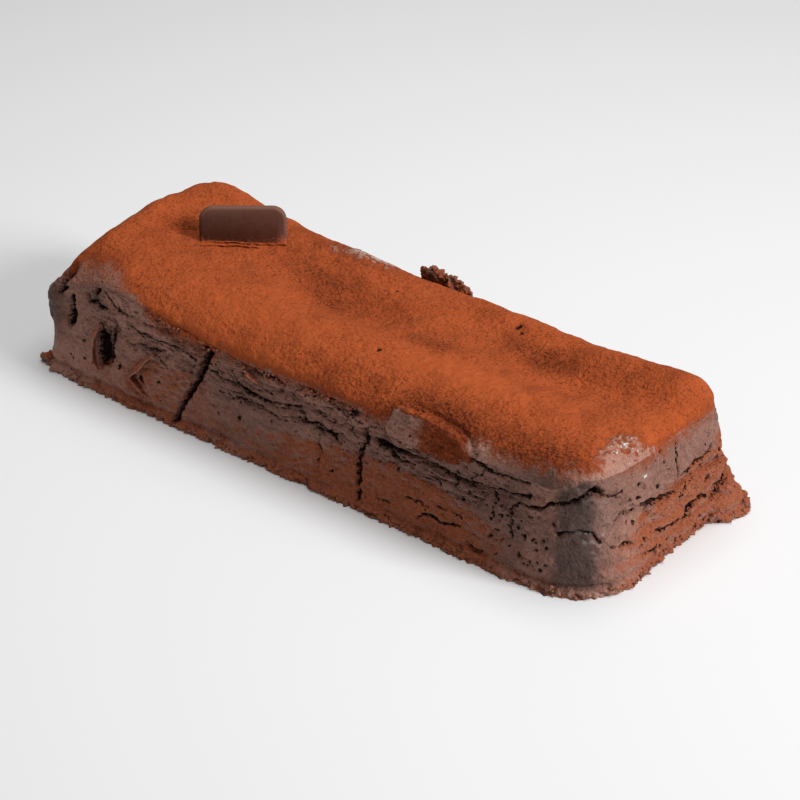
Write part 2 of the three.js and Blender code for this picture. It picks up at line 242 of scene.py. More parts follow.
@dataclass(frozen=True)
class Lobe:
    """A part of the sides that swells out: the way it faces, its spread, and its reach by height."""

    facing: tuple[float, float]
    spread: float
    reach: Pairs

    def over(self, nx: Array, ny: Array, z: Array) -> Array:
        """Outward swell where the outline faces (nx, ny), at height z."""
        off = np.hypot(nx - self.facing[0], ny - self.facing[1]) / self.spread
        return ease(self.reach, z) * np.exp(-off * off)


@dataclass(frozen=True)
class CakeForm:
    """The cake's smooth form: a rounded, sagging top on four flaring sides."""

    crown: float = 44.0
    rise: float = 8.0  # usual height of the rounded shoulder
    skirt: float = 17.0  # height of the part that the skirt's reach moves
    corner: Mapping[str, tuple[float, float]] = field(
        default_factory=lambda: {"front": (6.0, 13.5), "back": (12.0, 13.0)}
    )
    shoulder: Mapping[str, float] = field(
        default_factory=lambda: {"left": 10.0, "right": 12.0, "front": 20.0, "back": 11.0}
    )
    flare: Mapping[str, Pairs] = field(
        default_factory=lambda: {
            "front": ((0, 6.4), (0.1, 5.2), (0.22, 4.2), (0.5, 3), (0.72, 1.6), (0.82, 1.6), (1, 0)),
            "right": ((0, 8.4), (0.1, 7.8), (0.25, 5.6), (0.42, 3.2), (0.52, 1.5), (0.8, 1), (1, 0)),
            "back": ((0, 3.2), (0.12, 2.2), (0.4, 1.4), (0.75, 1.8), (1, 0)),
            "left": ((0, 4.4), (0.1, 2.6), (0.35, 0.6), (0.66, 2.6), (0.85, 2), (1, 0)),
        }
    )
    back_rim: Pairs = (
        (-122, 2), (-106, 4.6), (-80, 0.8), (-62, -0.8), (-40, 0.4), (-18, -2), (30, 0), (60, -0.6),
        (84, 1.2), (103, 3.2), (116, 2),
    )
    rim_level: Pairs = all_round(
        front=((-119, 33), (-92, 39), (-58, 36), (-28, 33.5), (10, 35), (42, 33.5), (75, 35), (104, 36)),
        right=((-37, 40), (-10, 37), (38, 40)),
        back=((60, 37), (-40, 36), (-105, 41)),
        left=((20, 42), (-20, 39)),
    )
    skirt_reach: Pairs = all_round(
        front=((-119, 0), (90, -0.2), (108, -0.9)),
        right=((-38, -1), (-20, -0.4), (-4, -2.6), (10, -4), (25, -4.6), (31, -1), (38, -0.4)),
        back=((100, 0),),
    )
    swells: tuple[Swell, ...] = (
        Swell(-106, 26, 20, 16, 1.4),
        Swell(-117, 4, 17, 28, 4.6),
        Swell(-64, 27, 9, 9, 1.2),
        Swell(-60, -15, 60, 9, 1.6),
        Swell(60, -14, 52, 8, 1.8),
        Swell(-16, 5, 25, 11, -4.8),
        Swell(-52, 20, 22, 10, -1.8),
        Swell(72, 14, 30, 12, -4.6),
        Swell(30, 20, 14, 9, -1.4),
        Swell(-118, -36, 13, 13, -4.4),
        Swell(112, -30, 16, 14, 1.6),
        Swell(-119, 10, 9, 12, 1.8),
    )
    lobes: tuple[Lobe, ...] = (
        Lobe((0.8, 0.6), 0.45, ((1, 6.7), (7, 5.3), (12, 4), (20, 2.2), (27, 0.4), (31, 0))),
        Lobe((-0.8, -0.6), 0.5, ((0, 0.6), (9, 0.9), (16, 1.6), (23, 3), (29, 3.6), (34, 2))),
    )

    def dusted(self, x: Array, y: Array) -> Array:
        """Height of the dusted top before its edges round over.

        Args:
            x: Places along the cake.
            y: Places across it.

        Returns:
            The heights.
        """
        z = self.crown + ease(self.back_rim, x) * smooth(y, 12, 38)
        return z + total(self.swells, x, y) + 0.35 * ripple(x / 7, y / 6, 2)

    def round_corner(self, x: Array, y: Array) -> tuple[Array, Array, Array, Array]:
        """Moves points of the rim's rectangle in to its rounded corners.

        Args:
            x: Places along the cake.
            y: Places across it.

        Returns:
            The moved x and y, and the way the outline faces there.
        """
        front_radius = np.where(x < 0, *self.corner["front"])
        back_radius = np.where(x < 0, *self.corner["back"])
        radius = np.where(y < 0, front_radius, back_radius)
        cx = np.clip(x, RIM_X[0] + radius, RIM_X[1] - radius)
        cy = np.clip(y, RIM_Y[0] + radius, RIM_Y[1] - radius)
        dx, dy = np.abs(x - cx), np.abs(y - cy)
        reach = np.maximum(dx, dy)
        by_x = math.pi / 4 * dy / np.where(dx > 0, dx, 1)
        by_y = math.pi / 2 - math.pi / 4 * dx / np.where(dy > 0, dy, 1)
        turn = np.where(dx >= dy, by_x, by_y)
        nx = np.where(reach > 0, np.cos(turn) * np.sign(x - cx), 0.0)
        ny = np.where(reach > 0, np.sin(turn) * np.sign(y - cy), 0.0)
        return cx + reach * nx, cy + reach * ny, nx, ny

    def rectangle(self, place: Array) -> tuple[Array, Array]:
        """Points of the rim's rectangle at distances round it.

        Args:
            place: Distances round the rim.

        Returns:
            The x and y of each.
        """
        place = np.mod(place, GIRTH)
        ends = [place <= LENGTH, place <= LENGTH + WIDTH, place <= 2 * LENGTH + WIDTH]
        back_x = RIM_X[1] - (place - LENGTH - WIDTH)
        x = np.select(ends, [RIM_X[0] + place, np.full_like(place, RIM_X[1]), back_x], RIM_X[0])
        y = np.select(
            ends,
            [np.full_like(place, RIM_Y[0]), RIM_Y[0] + place - LENGTH, np.full_like(place, RIM_Y[1])],
            RIM_Y[1] - (place - 2 * LENGTH - WIDTH),
        )
        return x, y

    def rim(self, place: Array) -> Array:
        """Height of the rim at distances round it."""
        return round_girth(self.rim_level, place)

    def rim_under(self, x: Array, y: Array) -> Array:
        """Height of the rim for any point of the top, eased from side to side.

        Args:
            x: Places along the cake, on the rim's rectangle.
            y: Places across it.

        Returns:
            The heights.
        """
        across, along = smooth(y, *RIM_Y), smooth(x, *RIM_X)
        front_back = self.rim(front(x)) * (1 - across) + self.rim(back(x)) * across
        left_right = self.rim(left(y)) * (1 - along) + self.rim(right(y)) * along
        to_end = np.minimum(x - RIM_X[0], RIM_X[1] - x)
        to_side = np.minimum(y - RIM_Y[0], RIM_Y[1] - y)
        total = to_end + to_side
        mixed = (front_back * to_end + left_right * to_side) / np.maximum(total, 1e-6)
        return np.where(total < 1e-6, front_back, mixed)

    def over_shoulder(self, share: Array, half: float, shoulder: Array) -> tuple[Array, Array, Array]:
        """Spreads half of the top evenly over its flat and its rounded shoulder.

        Args:
            share: 0 in the middle to 1 on the rim.
            half: Distance from the middle to the rim.
            shoulder: How far in from the rim the top rounds over.

        Returns:
            The distance from the middle, the share of height left, and the way over the surface to the rim.
        """
        flat = half - shoulder
        arc = 0.8 * (shoulder + self.rise)
        run = share * (flat + arc)
        turn = np.maximum(run - flat, 0) / arc * math.pi / 2
        return np.where(run <= flat, run, flat + shoulder * np.sin(turn)), np.cos(turn), flat + arc - run

    def spread(self, u: Array, v: Array) -> tuple[Array, ...]:
        """Spreads shares of the top over the rim's rectangle.

        Args:
            u: Share along, from -1 to 1.
            v: Share across, from -1 to 1.

        Returns:
            The x and y, the share of height left, and the ways to the nearer end and to the nearer side.
        """
        side_x = np.where(u < 0, self.shoulder["left"], self.shoulder["right"])
        side_y = np.where(v < 0, self.shoulder["front"], self.shoulder["back"])
        run_x, keep_x, to_end = self.over_shoulder(np.abs(u), LENGTH / 2, side_x)
        run_y, keep_y, to_side = self.over_shoulder(np.abs(v), WIDTH / 2, side_y)
        x = sum(RIM_X) / 2 + np.sign(u) * run_x
        y = sum(RIM_Y) / 2 + np.sign(v) * run_y
        return x, y, keep_x * keep_y, to_end, to_side

    def top(self, u: Array, v: Array) -> tuple[Array, Array, Array]:
        """Points of the top.

        Args:
            u: Share along, from -1 to 1.
            v: Share across, from -1 to 1.

        Returns:
            The points, and the ways over the surface to the nearer end and to the nearer side.
        """
        flat_x, flat_y, keep, to_end, to_side = self.spread(u, v)
        x, y, _, _ = self.round_corner(flat_x, flat_y)
        rim = self.rim_under(flat_x, flat_y)
        z = rim + (self.dusted(x, y) - rim) * keep
        return np.stack([x, y, z], -1), to_end, to_side

    def side(self, place: Array, z: Array) -> tuple[Array, Array]:
        """Points of the sides.

        Args:
            place: Distances round the rim.
            z: Heights.

        Returns:
            The points, and the level way out at each.
        """
        x, y, nx, ny = self.round_corner(*self.rectangle(place))
        share = z / self.rim(place)
        along_x = np.where(nx > 0, ease(self.flare["right"], share), ease(self.flare["left"], share))
        along_y = np.where(ny > 0, ease(self.flare["back"], share), ease(self.flare["front"], share))
        out = along_x * nx * nx + along_y * ny * ny
        for lobe in self.lobes:
            out = out + lobe.over(nx, ny, z)
        out = out + 0.7 * ripple(place / 9, z / 6, 1) + 0.5 * ripple(place / 3.1, z / 4, 5)
        out = out + round_girth(self.skirt_reach, place) * np.maximum(0, 1 - z / self.skirt)
        outward = np.stack([nx, ny, np.zeros_like(nx)], -1)
        return np.stack([x + nx * out, y + ny * out, z], -1), outward


# ---------------------------------------------------------------- cracks, crevices and hollows of the sides

Path = tuple[tuple[float, float, float], ...]


@dataclass(frozen=True)
class Cut:
    """A crack or hollow in a side: its path of (place, height, open width), and how deep it goes."""

    depth: float
    path: Path

    def signed(self, place: Array, z: Array) -> Array:
        """Distance outside the cut's edge, negative inside it.

        Args:
            place: Distances round the rim.
            z: Heights.

        Returns:
            The distances.
        """
        nearest = np.full(place.shape, 99.0)
        path = self.path if len(self.path) > 1 else self.path * 2
        for (from_place, from_z, from_wide), (to_place, to_z, to_wide) in zip(path, path[1:]):
            run, climb = to_place - from_place, to_z - from_z
            long = max(run * run + climb * climb, 1e-9)
            share = np.clip(((place - from_place) * run + (z - from_z) * climb) / long, 0, 1)
            gap = np.hypot(place - from_place - share * run, z - from_z - share * climb)
            nearest = np.minimum(nearest, gap - (from_wide + (to_wide - from_wide) * share) / 2)
        return nearest


def on_front(*points: tuple[float, float, float]) -> Path:
    """A path on the front, from points of (x, height, width)."""
    return tuple((front(x), z, width) for x, z, width in points)


def on_right(*points: tuple[float, float, float]) -> Path:
    """A path on the right end, from points of (y, height, width)."""
    return tuple((right(y), z, width) for y, z, width in points)


def on_left(*points: tuple[float, float, float]) -> Path:
    """A path on the left end beside the front, from points of (y, height, width)."""
    return tuple((left(y) - GIRTH, z, width) for y, z, width in points)


HOLLOWS: Mapping[str, Cut] = {
    "tall cleft": Cut(5.5, on_front(
        (-43.6, 32, 1.6), (-44.8, 29, 3.6), (-45.9, 26, 4), (-48.3, 20, 2.8), (-51.5, 14.5, 2.4),
        (-54.6, 8.5, 2.2), (-57.5, 1.5, 2.4),
    )),
    "behind the flap": Cut(4.6, on_front((-95.4, 25, 2), (-95.2, 20, 6), (-95, 14, 6), (-95.4, 9.6, 2))),
    "past the flap": Cut(4.2, on_front(
        (-89, 27.5, 1), (-89.2, 22, 2.4), (-90.2, 15.6, 2.6), (-91.2, 11, 1.2),
    )),
    "web between": Cut(2.2, on_front((-91.8, 24, 1.6), (-92.2, 16, 2.4), (-93, 11, 1.6))),
    "narrow hollow": Cut(3, on_front((-111.6, 31, 1.6), (-111.4, 26, 3.4), (-112, 20, 3))),
    "corner recess": Cut(3.6, on_left((-30, 33.4, 3), (-32, 29, 4.6), (-33.4, 23.6, 4))),
    "upper recess": Cut(3.6, on_front(
        (-120.9, 40, 1.6), (-118.9, 37, 4), (-116.9, 33, 4.4), (-118.1, 29.6, 2.4),
    )),
    "corner crease": Cut(1.6, on_left((-36.5, 12, 0.8), (-31.7, 10, 1.4))),
    "torn rim": Cut(4, on_front((-98.6, 38.2, 1.4), (-99.6, 36.6, 2.6), (-100.4, 35, 1.2))),
    "curls under the rim": Cut(2.2, on_front(
        (-105.2, 33.6, 0.8), (-102.6, 31.4, 1.4), (-99, 33.4, 1.2), (-96.4, 31.4, 1.6), (-93.6, 32.2, 1),
    )),
    "beside the sliver": Cut(2.2, on_front(
        (-26, 32.6, 0.6), (-22, 31.6, 1.6), (-17.2, 32.8, 1.8), (-12, 32.6, 1.3), (-8.6, 31, 0.6),
    )),
    "by the ridge": Cut(3, on_front((-76.2, 13.4, 1), (-75.3, 11.6, 2.2), (-73.6, 10.8, 0.8))),
    "rim hole left": Cut(2, on_front((-66.4, 34.4, 1.6), (-63.6, 33, 1.4))),
    "rim hole right": Cut(2.4, on_front((-47.6, 32.4, 1.8), (-45, 33, 2))),
    "upright groove": Cut(2, on_front((28.2, 23, 1.4), (27.4, 18, 2.2), (27.3, 12, 2.2), (28, 3, 1.4))),
    "faint groove": Cut(0.8, on_front((9.4, 22, 0.8), (10, 16, 1.2), (9, 8, 0.8))),
    "notch by the middle": Cut(1.6, on_front((-0.4, 27, 1), (0.4, 22, 1.6))),
    "notch over the groove": Cut(2.2, on_front((28.6, 28.8, 1.8), (29.8, 24.6, 2.4))),
    "corner cavity": Cut(6, on_right((-38, 34.4, 0.8), (-34.4, 35, 1.8), (-31, 35.6, 3.4), (-28, 34, 2.4))),
    "low hole": Cut(3, on_front((75.4, 4.9, 1.2), (78, 4.2, 1.8), (80.6, 3.8, 1))),
    "largest hole": Cut(5, on_right(
        (27.4, 9.6, 1.4), (30.8, 11.4, 2), (34, 13.4, 4.4), (38, 14.6, 4.4), (41, 16, 3),
    )),
    "hole beside it": Cut(3.4, on_right((24.6, 16, 1), (27, 16.8, 1.8))),
    "hole under it": Cut(4, on_right((28, 9, 1.4), (31, 9.8, 2.2))),
    "low slot": Cut(3, on_right((-22.6, 13.2, 0.7), (-20, 13, 1.6), (-17, 12, 0.8))),
    "slot beside it": Cut(2.4, on_right((-26.6, 14.6, 0.6), (-24.6, 13.9, 1.2))),
    "slanting slot": Cut(2.6, on_right((-22.4, 21.6, 0.8), (-19.6, 22.8, 1.2), (-17.2, 23.6, 0.7))),
}

CRACKS: Mapping[str, Cut] = {
    "along the left crust": Cut(1.4, on_front(
        (-95.6, 37, 0.5), (-90.7, 35.2, 0.6), (-87.4, 33, 0.7), (-83.4, 32.2, 0.3),
    )),
    "left strata": Cut(1, on_front((-77.1, 24, 0.3), (-71.4, 23.8, 0.7), (-64.4, 25.2, 0.3))),
    "second left strata": Cut(1.2, on_front(
        (-84, 29.4, 0.2), (-74, 28.6, 0.8), (-62, 28.4, 0.5), (-49, 27.6, 0.9),
    )),
    "ridge tail": Cut(0.8, on_front((-69, 22.4, 0.3), (-64.3, 21, 0.5), (-61.5, 18.6, 0.2))),
    "long crack": Cut(2, on_front(
        (-43, 26, 0.6), (-39.4, 25.2, 1), (-35.1, 24.9, 0.5), (-29, 25.6, 0.7), (-25.5, 24.6, 1.5),
        (-21, 24, 0.5), (-16.7, 23.1, 0.7), (-9, 24.6, 0.4), (-1.5, 26.4, 0.9),
    )),
    "fine crack": Cut(0.9, on_front(
        (-37.1, 20, 0.2), (-29, 20.2, 0.5), (-21.9, 21, 0.3), (-9.9, 19.8, 0.5), (-1.1, 20.8, 0.3),
    )),
    "under the middle": Cut(1.4, on_front(
        (-1.1, 21.2, 0.4), (7.3, 23.1, 0.8), (13.7, 22.4, 0.5), (18.9, 20.4, 0.8),
    )),
    "torn strip": Cut(1, on_front(
        (2, 34.4, 0.2), (8.9, 33.7, 0.5), (14.5, 32.3, 0.4), (21.3, 31.4, 0.5), (32.9, 30.6, 0.2),
    )),
    "main crevice": Cut(3, on_front(
        (33, 26.6, 0.6), (37, 25.8, 1), (44.1, 26.1, 0.9), (51, 26.8, 1.1), (56.1, 27.1, 1.6),
        (64.5, 26.4, 1), (73.3, 26.4, 0.9), (79, 27.7, 0.7), (82.9, 28, 0.9), (85.2, 25.4, 0.6),
    )),
    "crevice branch": Cut(1.8, on_front(
        (37.3, 26.4, 0.5), (40.4, 24.4, 1.2), (43.7, 23.1, 0.7), (50.5, 24, 0.3),
    )),
    "crust step": Cut(1.8, on_front(
        (70.4, 34.6, 0.5), (76.9, 34.1, 1), (81.6, 33.2, 0.8), (85.7, 33.4, 0.6), (93, 34.2, 0.4),
        (97.7, 34.4, 0.5),
    )),
    "under the step": Cut(1.6, on_front(
        (78.1, 27.4, 0.3), (86, 28.6, 0.5), (92.4, 29.4, 0.8), (98.6, 30.6, 1.4),
    )),
    "upright crack": Cut(1.4, on_front((92.3, 25, 0.5), (92.4, 20, 0.9), (92.9, 14.1, 0.6))),
    "corner crevice": Cut(3.4, on_front(
        (92.9, 24.9, 0.5), (95.2, 27.1, 0.6), (98.8, 27.2, 0.7), (103.3, 28.2, 0.8), (106.9, 31, 0.9),
        (112.5, 32, 1.2), (117.3, 33.4, 1.1),
    ) + on_right((-36.5, 34.4, 1.2), (-33.6, 35, 1.6))),
    "past the cavity": Cut(1.6, on_right(
        (-27.2, 33.2, 0.7), (-22, 30.4, 0.8), (-18.4, 30, 0.7), (-17.4, 31.2, 0.4),
    )),
    "pillar crack": Cut(1.8, on_front(
        (110.9, 21.3, 1.6), (113, 22.2, 0.8), (116.1, 22.6, 0.6),
    ) + on_right((-34.6, 22, 0.6), (-32.2, 20.6, 0.6), (-30, 17.1, 0.8))),
    "low crack": Cut(1.4, on_front(
        (54.4, 7.3, 0.5), (57.4, 9.4, 0.6), (60.4, 9.2, 0.8), (64.9, 8.5, 0.7), (70.9, 9.3, 0.5),
    )),
    "crack over it": Cut(1.2, on_front(
        (46.6, 11.6, 0.4), (50.4, 12.2, 0.6), (53.7, 11.8, 0.5), (58.5, 11.6, 0.3),
    )),
    "crack beside it": Cut(1.2, on_front((36, 6.4, 0.5), (39, 6.6, 0.7), (42.5, 6.9, 0.3))),
    "right of it": Cut(1, on_front((62, 13.6, 0.3), (66, 13.8, 0.5), (72, 12.6, 0.4))),
    "short crack": Cut(0.9, on_front((97.4, 9.4, 0.3), (101, 8.6, 0.5), (104, 6.6, 0.2))),
    "under the crust": Cut(2.6, on_right(
        (-17.6, 22.4, 0.6), (-12.4, 21.6, 1), (-9, 22, 1.2), (-4, 20.2, 1.4), (1, 19, 0.9), (6, 18.8, 1.2),
        (9.6, 18.8, 0.6),
    )),
    "crust upright": Cut(1.2, on_right((12.2, 35, 0.5), (11.4, 29, 0.6), (11.8, 22.6, 0.5))),
    "far under the crust": Cut(2.6, on_right(
        (14.4, 22.8, 0.8), (19, 23.4, 1), (23.4, 24, 1.4), (27.6, 24.8, 1), (30, 26.4, 1.6),
    )),
    "far slot": Cut(1.8, on_right((32, 22, 0.4), (35.4, 24, 1.3), (37.6, 26.4, 0.7))),
    "middle terrace": Cut(2, on_right((10.4, 16.4, 0.4), (13.4, 17.4, 0.8), (16.4, 19.4, 0.5))),
    "upper pit chain": Cut(2.4, on_right(
        (12.6, 9.6, 0.7), (15, 10.6, 1.6), (18.8, 11.8, 1.1), (23, 11.4, 1.2), (26, 10.8, 0.6),
    )),
    "lower pit chain": Cut(2.2, on_right(
        (-4.4, 10.9, 0.7), (-1, 10, 1), (3.6, 9.6, 0.6), (6, 9.2, 1.3), (11, 8.8, 1), (15.6, 8, 0.7),
    )),
    "foot terrace": Cut(1.2, on_right((-14, 6.8, 0.3), (-8, 5.8, 0.6), (-2, 5.6, 0.4))),
}

PITS: Path = (
    *on_right((-8.8, 29.1, 1.2), (1.6, 23.8, 1.9), (3.2, 36, 1.2), (-9.6, 24.8, 1.3), (-6.2, 27.2, 0.8)),
    *on_right((4.6, 31.6, 0.9), (-14.6, 26.2, 0.9), (7.4, 27, 0.8), (-12.4, 10, 1), (-9.6, 10.8, 1.1)),
    *on_right((-13.4, 17.4, 1.2), (-16, 18.6, 0.9), (20.6, 5.4, 1.1), (2.2, 5, 0.9), (-6, 4.4, 1)),
    *on_front((94.6, 17, 1), (97.8, 16.2, 1.3), (102, 16.6, 1.1), (105.6, 17.4, 1.2), (88, 18.4, 0.9)),
    *on_front((99.6, 23.2, 1), (109, 24, 1.2), (104.6, 9.6, 1), (107.4, 9.4, 0.8), (84.4, 12, 0.9)),
    *on_front((-28.6, 12.6, 1.4), (-12.6, 17.2, 1), (-37.4, 11.8, 1.2), (15.2, 9, 1.1), (44, 20, 0.9)),
    *on_front((-104.4, 16, 1.1), (-86, 12.4, 1), (-66.4, 13.4, 0.9), (62, 21.4, 1.1), (72, 19.6, 1)),
)


def pit_cluster(count: int = 34, seed: int = 12) -> Path:
    """The many small pits near the right of the front."""
    draw = random.Random(seed)
    spots = [(draw.uniform(84, 108), draw.uniform(6, 25), draw.uniform(0.5, 1.1)) for _ in range(count)]
    return on_front(*spots)


# On the top: a groove along the slab, as (x, y, width), and small holes, as (x, y, width, depth); both are
# cut, and painted dark inside as painted shade.
TOP_GROOVE: Path = ((44, -32, 0), (54, -32.6, 0.2), (64, -33.6, 0.5), (70, -35.4, 0.6), (74.6, -38.4, 1.2))
TOP_HOLES = ((37.6, 29.4, 1.6, 1.2), (41, 26.6, 1.3, 1), (14.2, -16.9, 1.5, 0.9), (-11.9, 22.5, 0.8, 0.5))

PIT_DEPTH = 1.1
UNCUT = 9.0  # distance from a cut that counts as far


@dataclass(frozen=True)
class Edge:
    """The edge of a kind of cut: where it is deepest, where it ends, and how far in its dark part ends; the
    dark part is painted shade.
    """

    deepest: float
    end: float
    margin: float = 0.0


SEAM_EDGE = Edge(0.2, 1.7, 0.9)
HOLLOW_EDGE = Edge(-0.8, 0.4, 0.35)
CRACK_EDGE = Edge(-0.5, 0.3, 0.08)
PIT_EDGE = Edge(-0.5, 0.5)
TOP_GROOVE_EDGE = Edge(-0.5, 0.8, 0.5)
TOP_HOLE_EDGE = Edge(-0.4, 0.6)
TOP_RECESS_EDGE = Edge(2, 5.6, -2)


@dataclass
class Carving:
    """Relief and open cracks, cut into a surface step by step."""

    relief: Array  # outwards
    opening: Array  # distance outside the nearest crack

    def cut(self, off: Array, depth: Amount, edge: Edge, wider: Amount = 0.0) -> None:
        """Cuts a crack, a hollow or a seam.

        Args:
            off: Distance outside it, negative inside.
            depth: How deep it goes.
            edge: Its kind of edge.
            wider: How much wider its dark part, painted shade, is than usual.
        """
        self.relief = self.relief - depth * fade(off, edge.deepest, edge.end)
        self.opening = np.minimum(self.opening, off + edge.margin - wider)


class Groove(Enum):
    """The seams that run right round the cake, between its baked layers."""

    CREVICE = "under the crust"
    SEAM = "middle seam"
    LOW = "low seam"
    FOOT = "over the foot"


GROOVE_LEVEL: Mapping[Groove, Pairs] = {
    Groove.CREVICE: all_round(
        front=((-119, 29), (-86, 33), (-44, 31.5), (-17, 29.5), (20, 27.5), (60, 26.3), (88, 27), (106, 33)),
        right=((-37, 37.5), (-22, 31.5), (-8, 20.5), (38, 20.5)),
        back=((60, 26), (-40, 24)),
        left=((10, 28),),
    ),
    Groove.SEAM: all_round(
        front=((-119, 21), (-60, 24), (-20, 24.5), (28, 22.5), (56, 19.5), (90, 20.5), (107, 17)),
        right=((-37, 20), (-26, 16.5), (-6, 13.4), (16, 11.5), (40, 13.5)),
        back=((40, 17), (-60, 15)),
        left=((10, 17),),
    ),
    Groove.LOW: all_round(
        front=((-119, 8), (-50, 9), (20, 7), (56, 12.5), (80, 9)),
        right=((-37, 9), (-5, 7), (30, 8.6)),
        back=((40, 9), (-60, 8)),
    ),
    Groove.FOOT: all_round(
        front=((-119, 3.4), (0, 3.8)),
        right=((0, 3.6),),
        back=((0, 3.4),),
    ),
}
GROOVE_DEPTH: Mapping[Groove, Pairs] = {
    Groove.CREVICE: all_round(
        front=((-119, 0.4), (-72, 0.6), (-46, 0.7), (-20, 0.7), (20, 1.1), (44, 1.6), (70, 1.6), (100, 0.8)),
        right=((-37, 0.6), (-18, 0.4), (0, 1.2), (36, 1.4)),
        back=((60, 2.2), (0, 1.2), (-60, 2)),
        left=((10, 1),),
    ),
    Groove.SEAM: all_round(
        front=((-119, 0.2), (-60, 0.6), (-20, 0.4), (30, 0.7), (60, 0.6), (84, 0.2), (108, 0.4)),
        right=((-30, 0.4), (-16, 0.2), (30, 1.2)),
        back=((60, 1.2), (-60, 1.2)),
    ),
    Groove.LOW: all_round(
        front=((-119, 0.1), (30, 0.2), (66, 0.5), (96, 0.2)),
        right=((-20, 0.2), (24, 0.8)),
        back=((60, 0.6), (-60, 0.8)),
    ),
    Groove.FOOT: all_round(
        front=((-119, 1.1), (-60, 0.9), (20, 0.5), (90, 1)),
        right=((0, 0.6),),
        back=((0, 0.8),),
    ),
}


@dataclass(frozen=True)
class SideLook:
    """How rough, dusted and polished the sides are, place by place, and where shade is painted on the sides
    and the top.
    """

    # Where the powder ends: how far in over the rim, by place round it.
    powder_edge: Pairs = all_round(
        front=(
            (-121, 8), (-114, 13), (-95, 12.2), (-87, 7.2), (-79.5, 3.3), (-75, -1.5), (-70, -3.6),
            (-60, -3.6), (-50, -4), (-44, -4), (-36, -0.6), (0, -0.8), (24, -0.2), (36, 0), (64, 1), (71, 6),
            (76, 8), (84, 6), (92, 6), (100, 8), (113, 8),
        ),
        right=((-32, 6), (-24, 3.4), (-12, -0.4), (10, -1.6), (38, -1.6)),
        back=((100, -2), (0, -3), (-100, -2)),
        left=((30, 0), (0, -0.5), (-34, 0.5)),
    )
    # How much cocoa lies on the lower sides, and the height that it reaches.
    dust: Pairs = all_round(
        front=(
            (-119, 0.14), (-88, 0.36), (-72, 0.5), (-52, 0.44), (-32, 0.32), (-12, 0.44), (6, 0.68),
            (62, 0.74), (78, 0.54), (94, 0.3),
        ),
        right=((-37, 0.14), (-22, 0.32), (-8, 0.54), (20, 0.6), (38, 0.54)),
        back=((60, 0.6), (-60, 0.5)),
        left=((10, 0.3),),
    )
    dust_level: Pairs = all_round(
        front=(
            (-119, 8), (-88, 17), (-70, 21), (-44, 21), (-24, 12), (0, 17), (20, 20), (60, 20), (84, 17),
            (100, 14),
        ),
        right=((-37, 14), (-14, 17), (-4, 19), (14, 22), (30, 26), (38, 30)),
        back=((60, 24), (-60, 22)),
        left=((10, 16),),
    )
    # How dark and moist the bare crumb is, below the rim; the same mask also paints shade in hollows and
    # recesses.
    moist_and_shade: Pairs = all_round(
        front=(
            (-119, 0), (-62, 0), (-48, 0.2), (-26, 0.32), (-6, 0.24), (4, 0.12), (14, 0.18), (44, 0.3),
            (62, 0.38), (74, 0.45), (95, 0.5), (102, 0.2), (107, 0.36), (113, 0.95),
        ),
        right=((-35, 1), (-30, 0.55), (-25, 0.28), (-19, 0.08), (-8, 0)),
        back=((0, 0),),
    )
    # Where the powder on the top lies thin and dark (more than 0) or thick and pale (less than 0); the dark
    # spots are also painted shade in valleys and in cast shadows, and the pale ones painted light on slopes.
    thin_and_shaded_spots: tuple[Swell, ...] = (
        Swell(-30, 12, 16, 8, 0.5),
        Swell(-46, 15, 10, 7, 0.35),
        Swell(-24, 4, 11, 6, 0.6),
        Swell(-40, 31, 18, 6, 0.3),
        Swell(24, 0, 11, 6, 0.55),
        Swell(58, 20, 14, 7, 0.85),
        Swell(79, 29, 8, 6, 0.25),
        Swell(92, 24, 10, 7, 0.3),
        Swell(54, -11, 22, 8, -0.55),
        Swell(56, -31, 18, 7, 0.6),
        Swell(98, -32, 20, 9, 0.45),
        Swell(-98, 7, 6, 6, 0.9),
        Swell(-24, -38, 56, 4, -0.7),
        Swell(-40, -24, 34, 9, -0.5),
        Swell(34, -14, 18, 8, -0.4),
    )
    # How torn and layered the surface is.
    tear: Pairs = all_round(
        front=((-119, 0.25), (-88, 0.6), (-60, 0.8), (-20, 0.8), (20, 1), (70, 0.9), (100, 0.35)),
        right=((-37, 0.25), (-20, 0.4), (0, 0.8), (38, 1)),
        back=((60, 0.9), (-60, 0.9)),
        left=((10, 0.5),),
    )

    # Moist and polished spots of the sides, as (distance round the rim, height); the moist spots are painted
    # shade in recesses and hollows, and polish also paints white glints.
    moist_and_shade_spots: tuple[Swell, ...] = (
        Swell(front(-120.5), 25, 5.4, 12, 0.9),
        Swell(front(-92), 18, 4, 8, 0.6),
        Swell(front(-99.5), 33.5, 6, 3.4, 0.8),
    )
    polished_spots: tuple[Swell, ...] = (
        Swell(right(-27), 26, 4, 8, 0.7),
        Swell(right(-36), 14, 8, 10, 0.15),
        Swell(right(-5.6), 30.8, 2.2, 1.4, 1.4),
    )
    # Where the top's powder is rubbed off, with painted white glints on the bare crust, and where the crust
    # under it is moist.
    bald_spots: tuple[Swell, ...] = (
        Swell(-40, 35, 16, 7, 0.62, fall=4),
        Swell(-34, 38, 8, 3.4, 0.9),
        Swell(114, -13, 5.4, 10, 0.85),
    )
    moist_corner: Swell = Swell(106, -38, 18, 8, 0.8)
    # Recess in the top at the front left corner, cut and darkened with painted shade.
    top_recess: tuple[float, float] = (-119, -35)


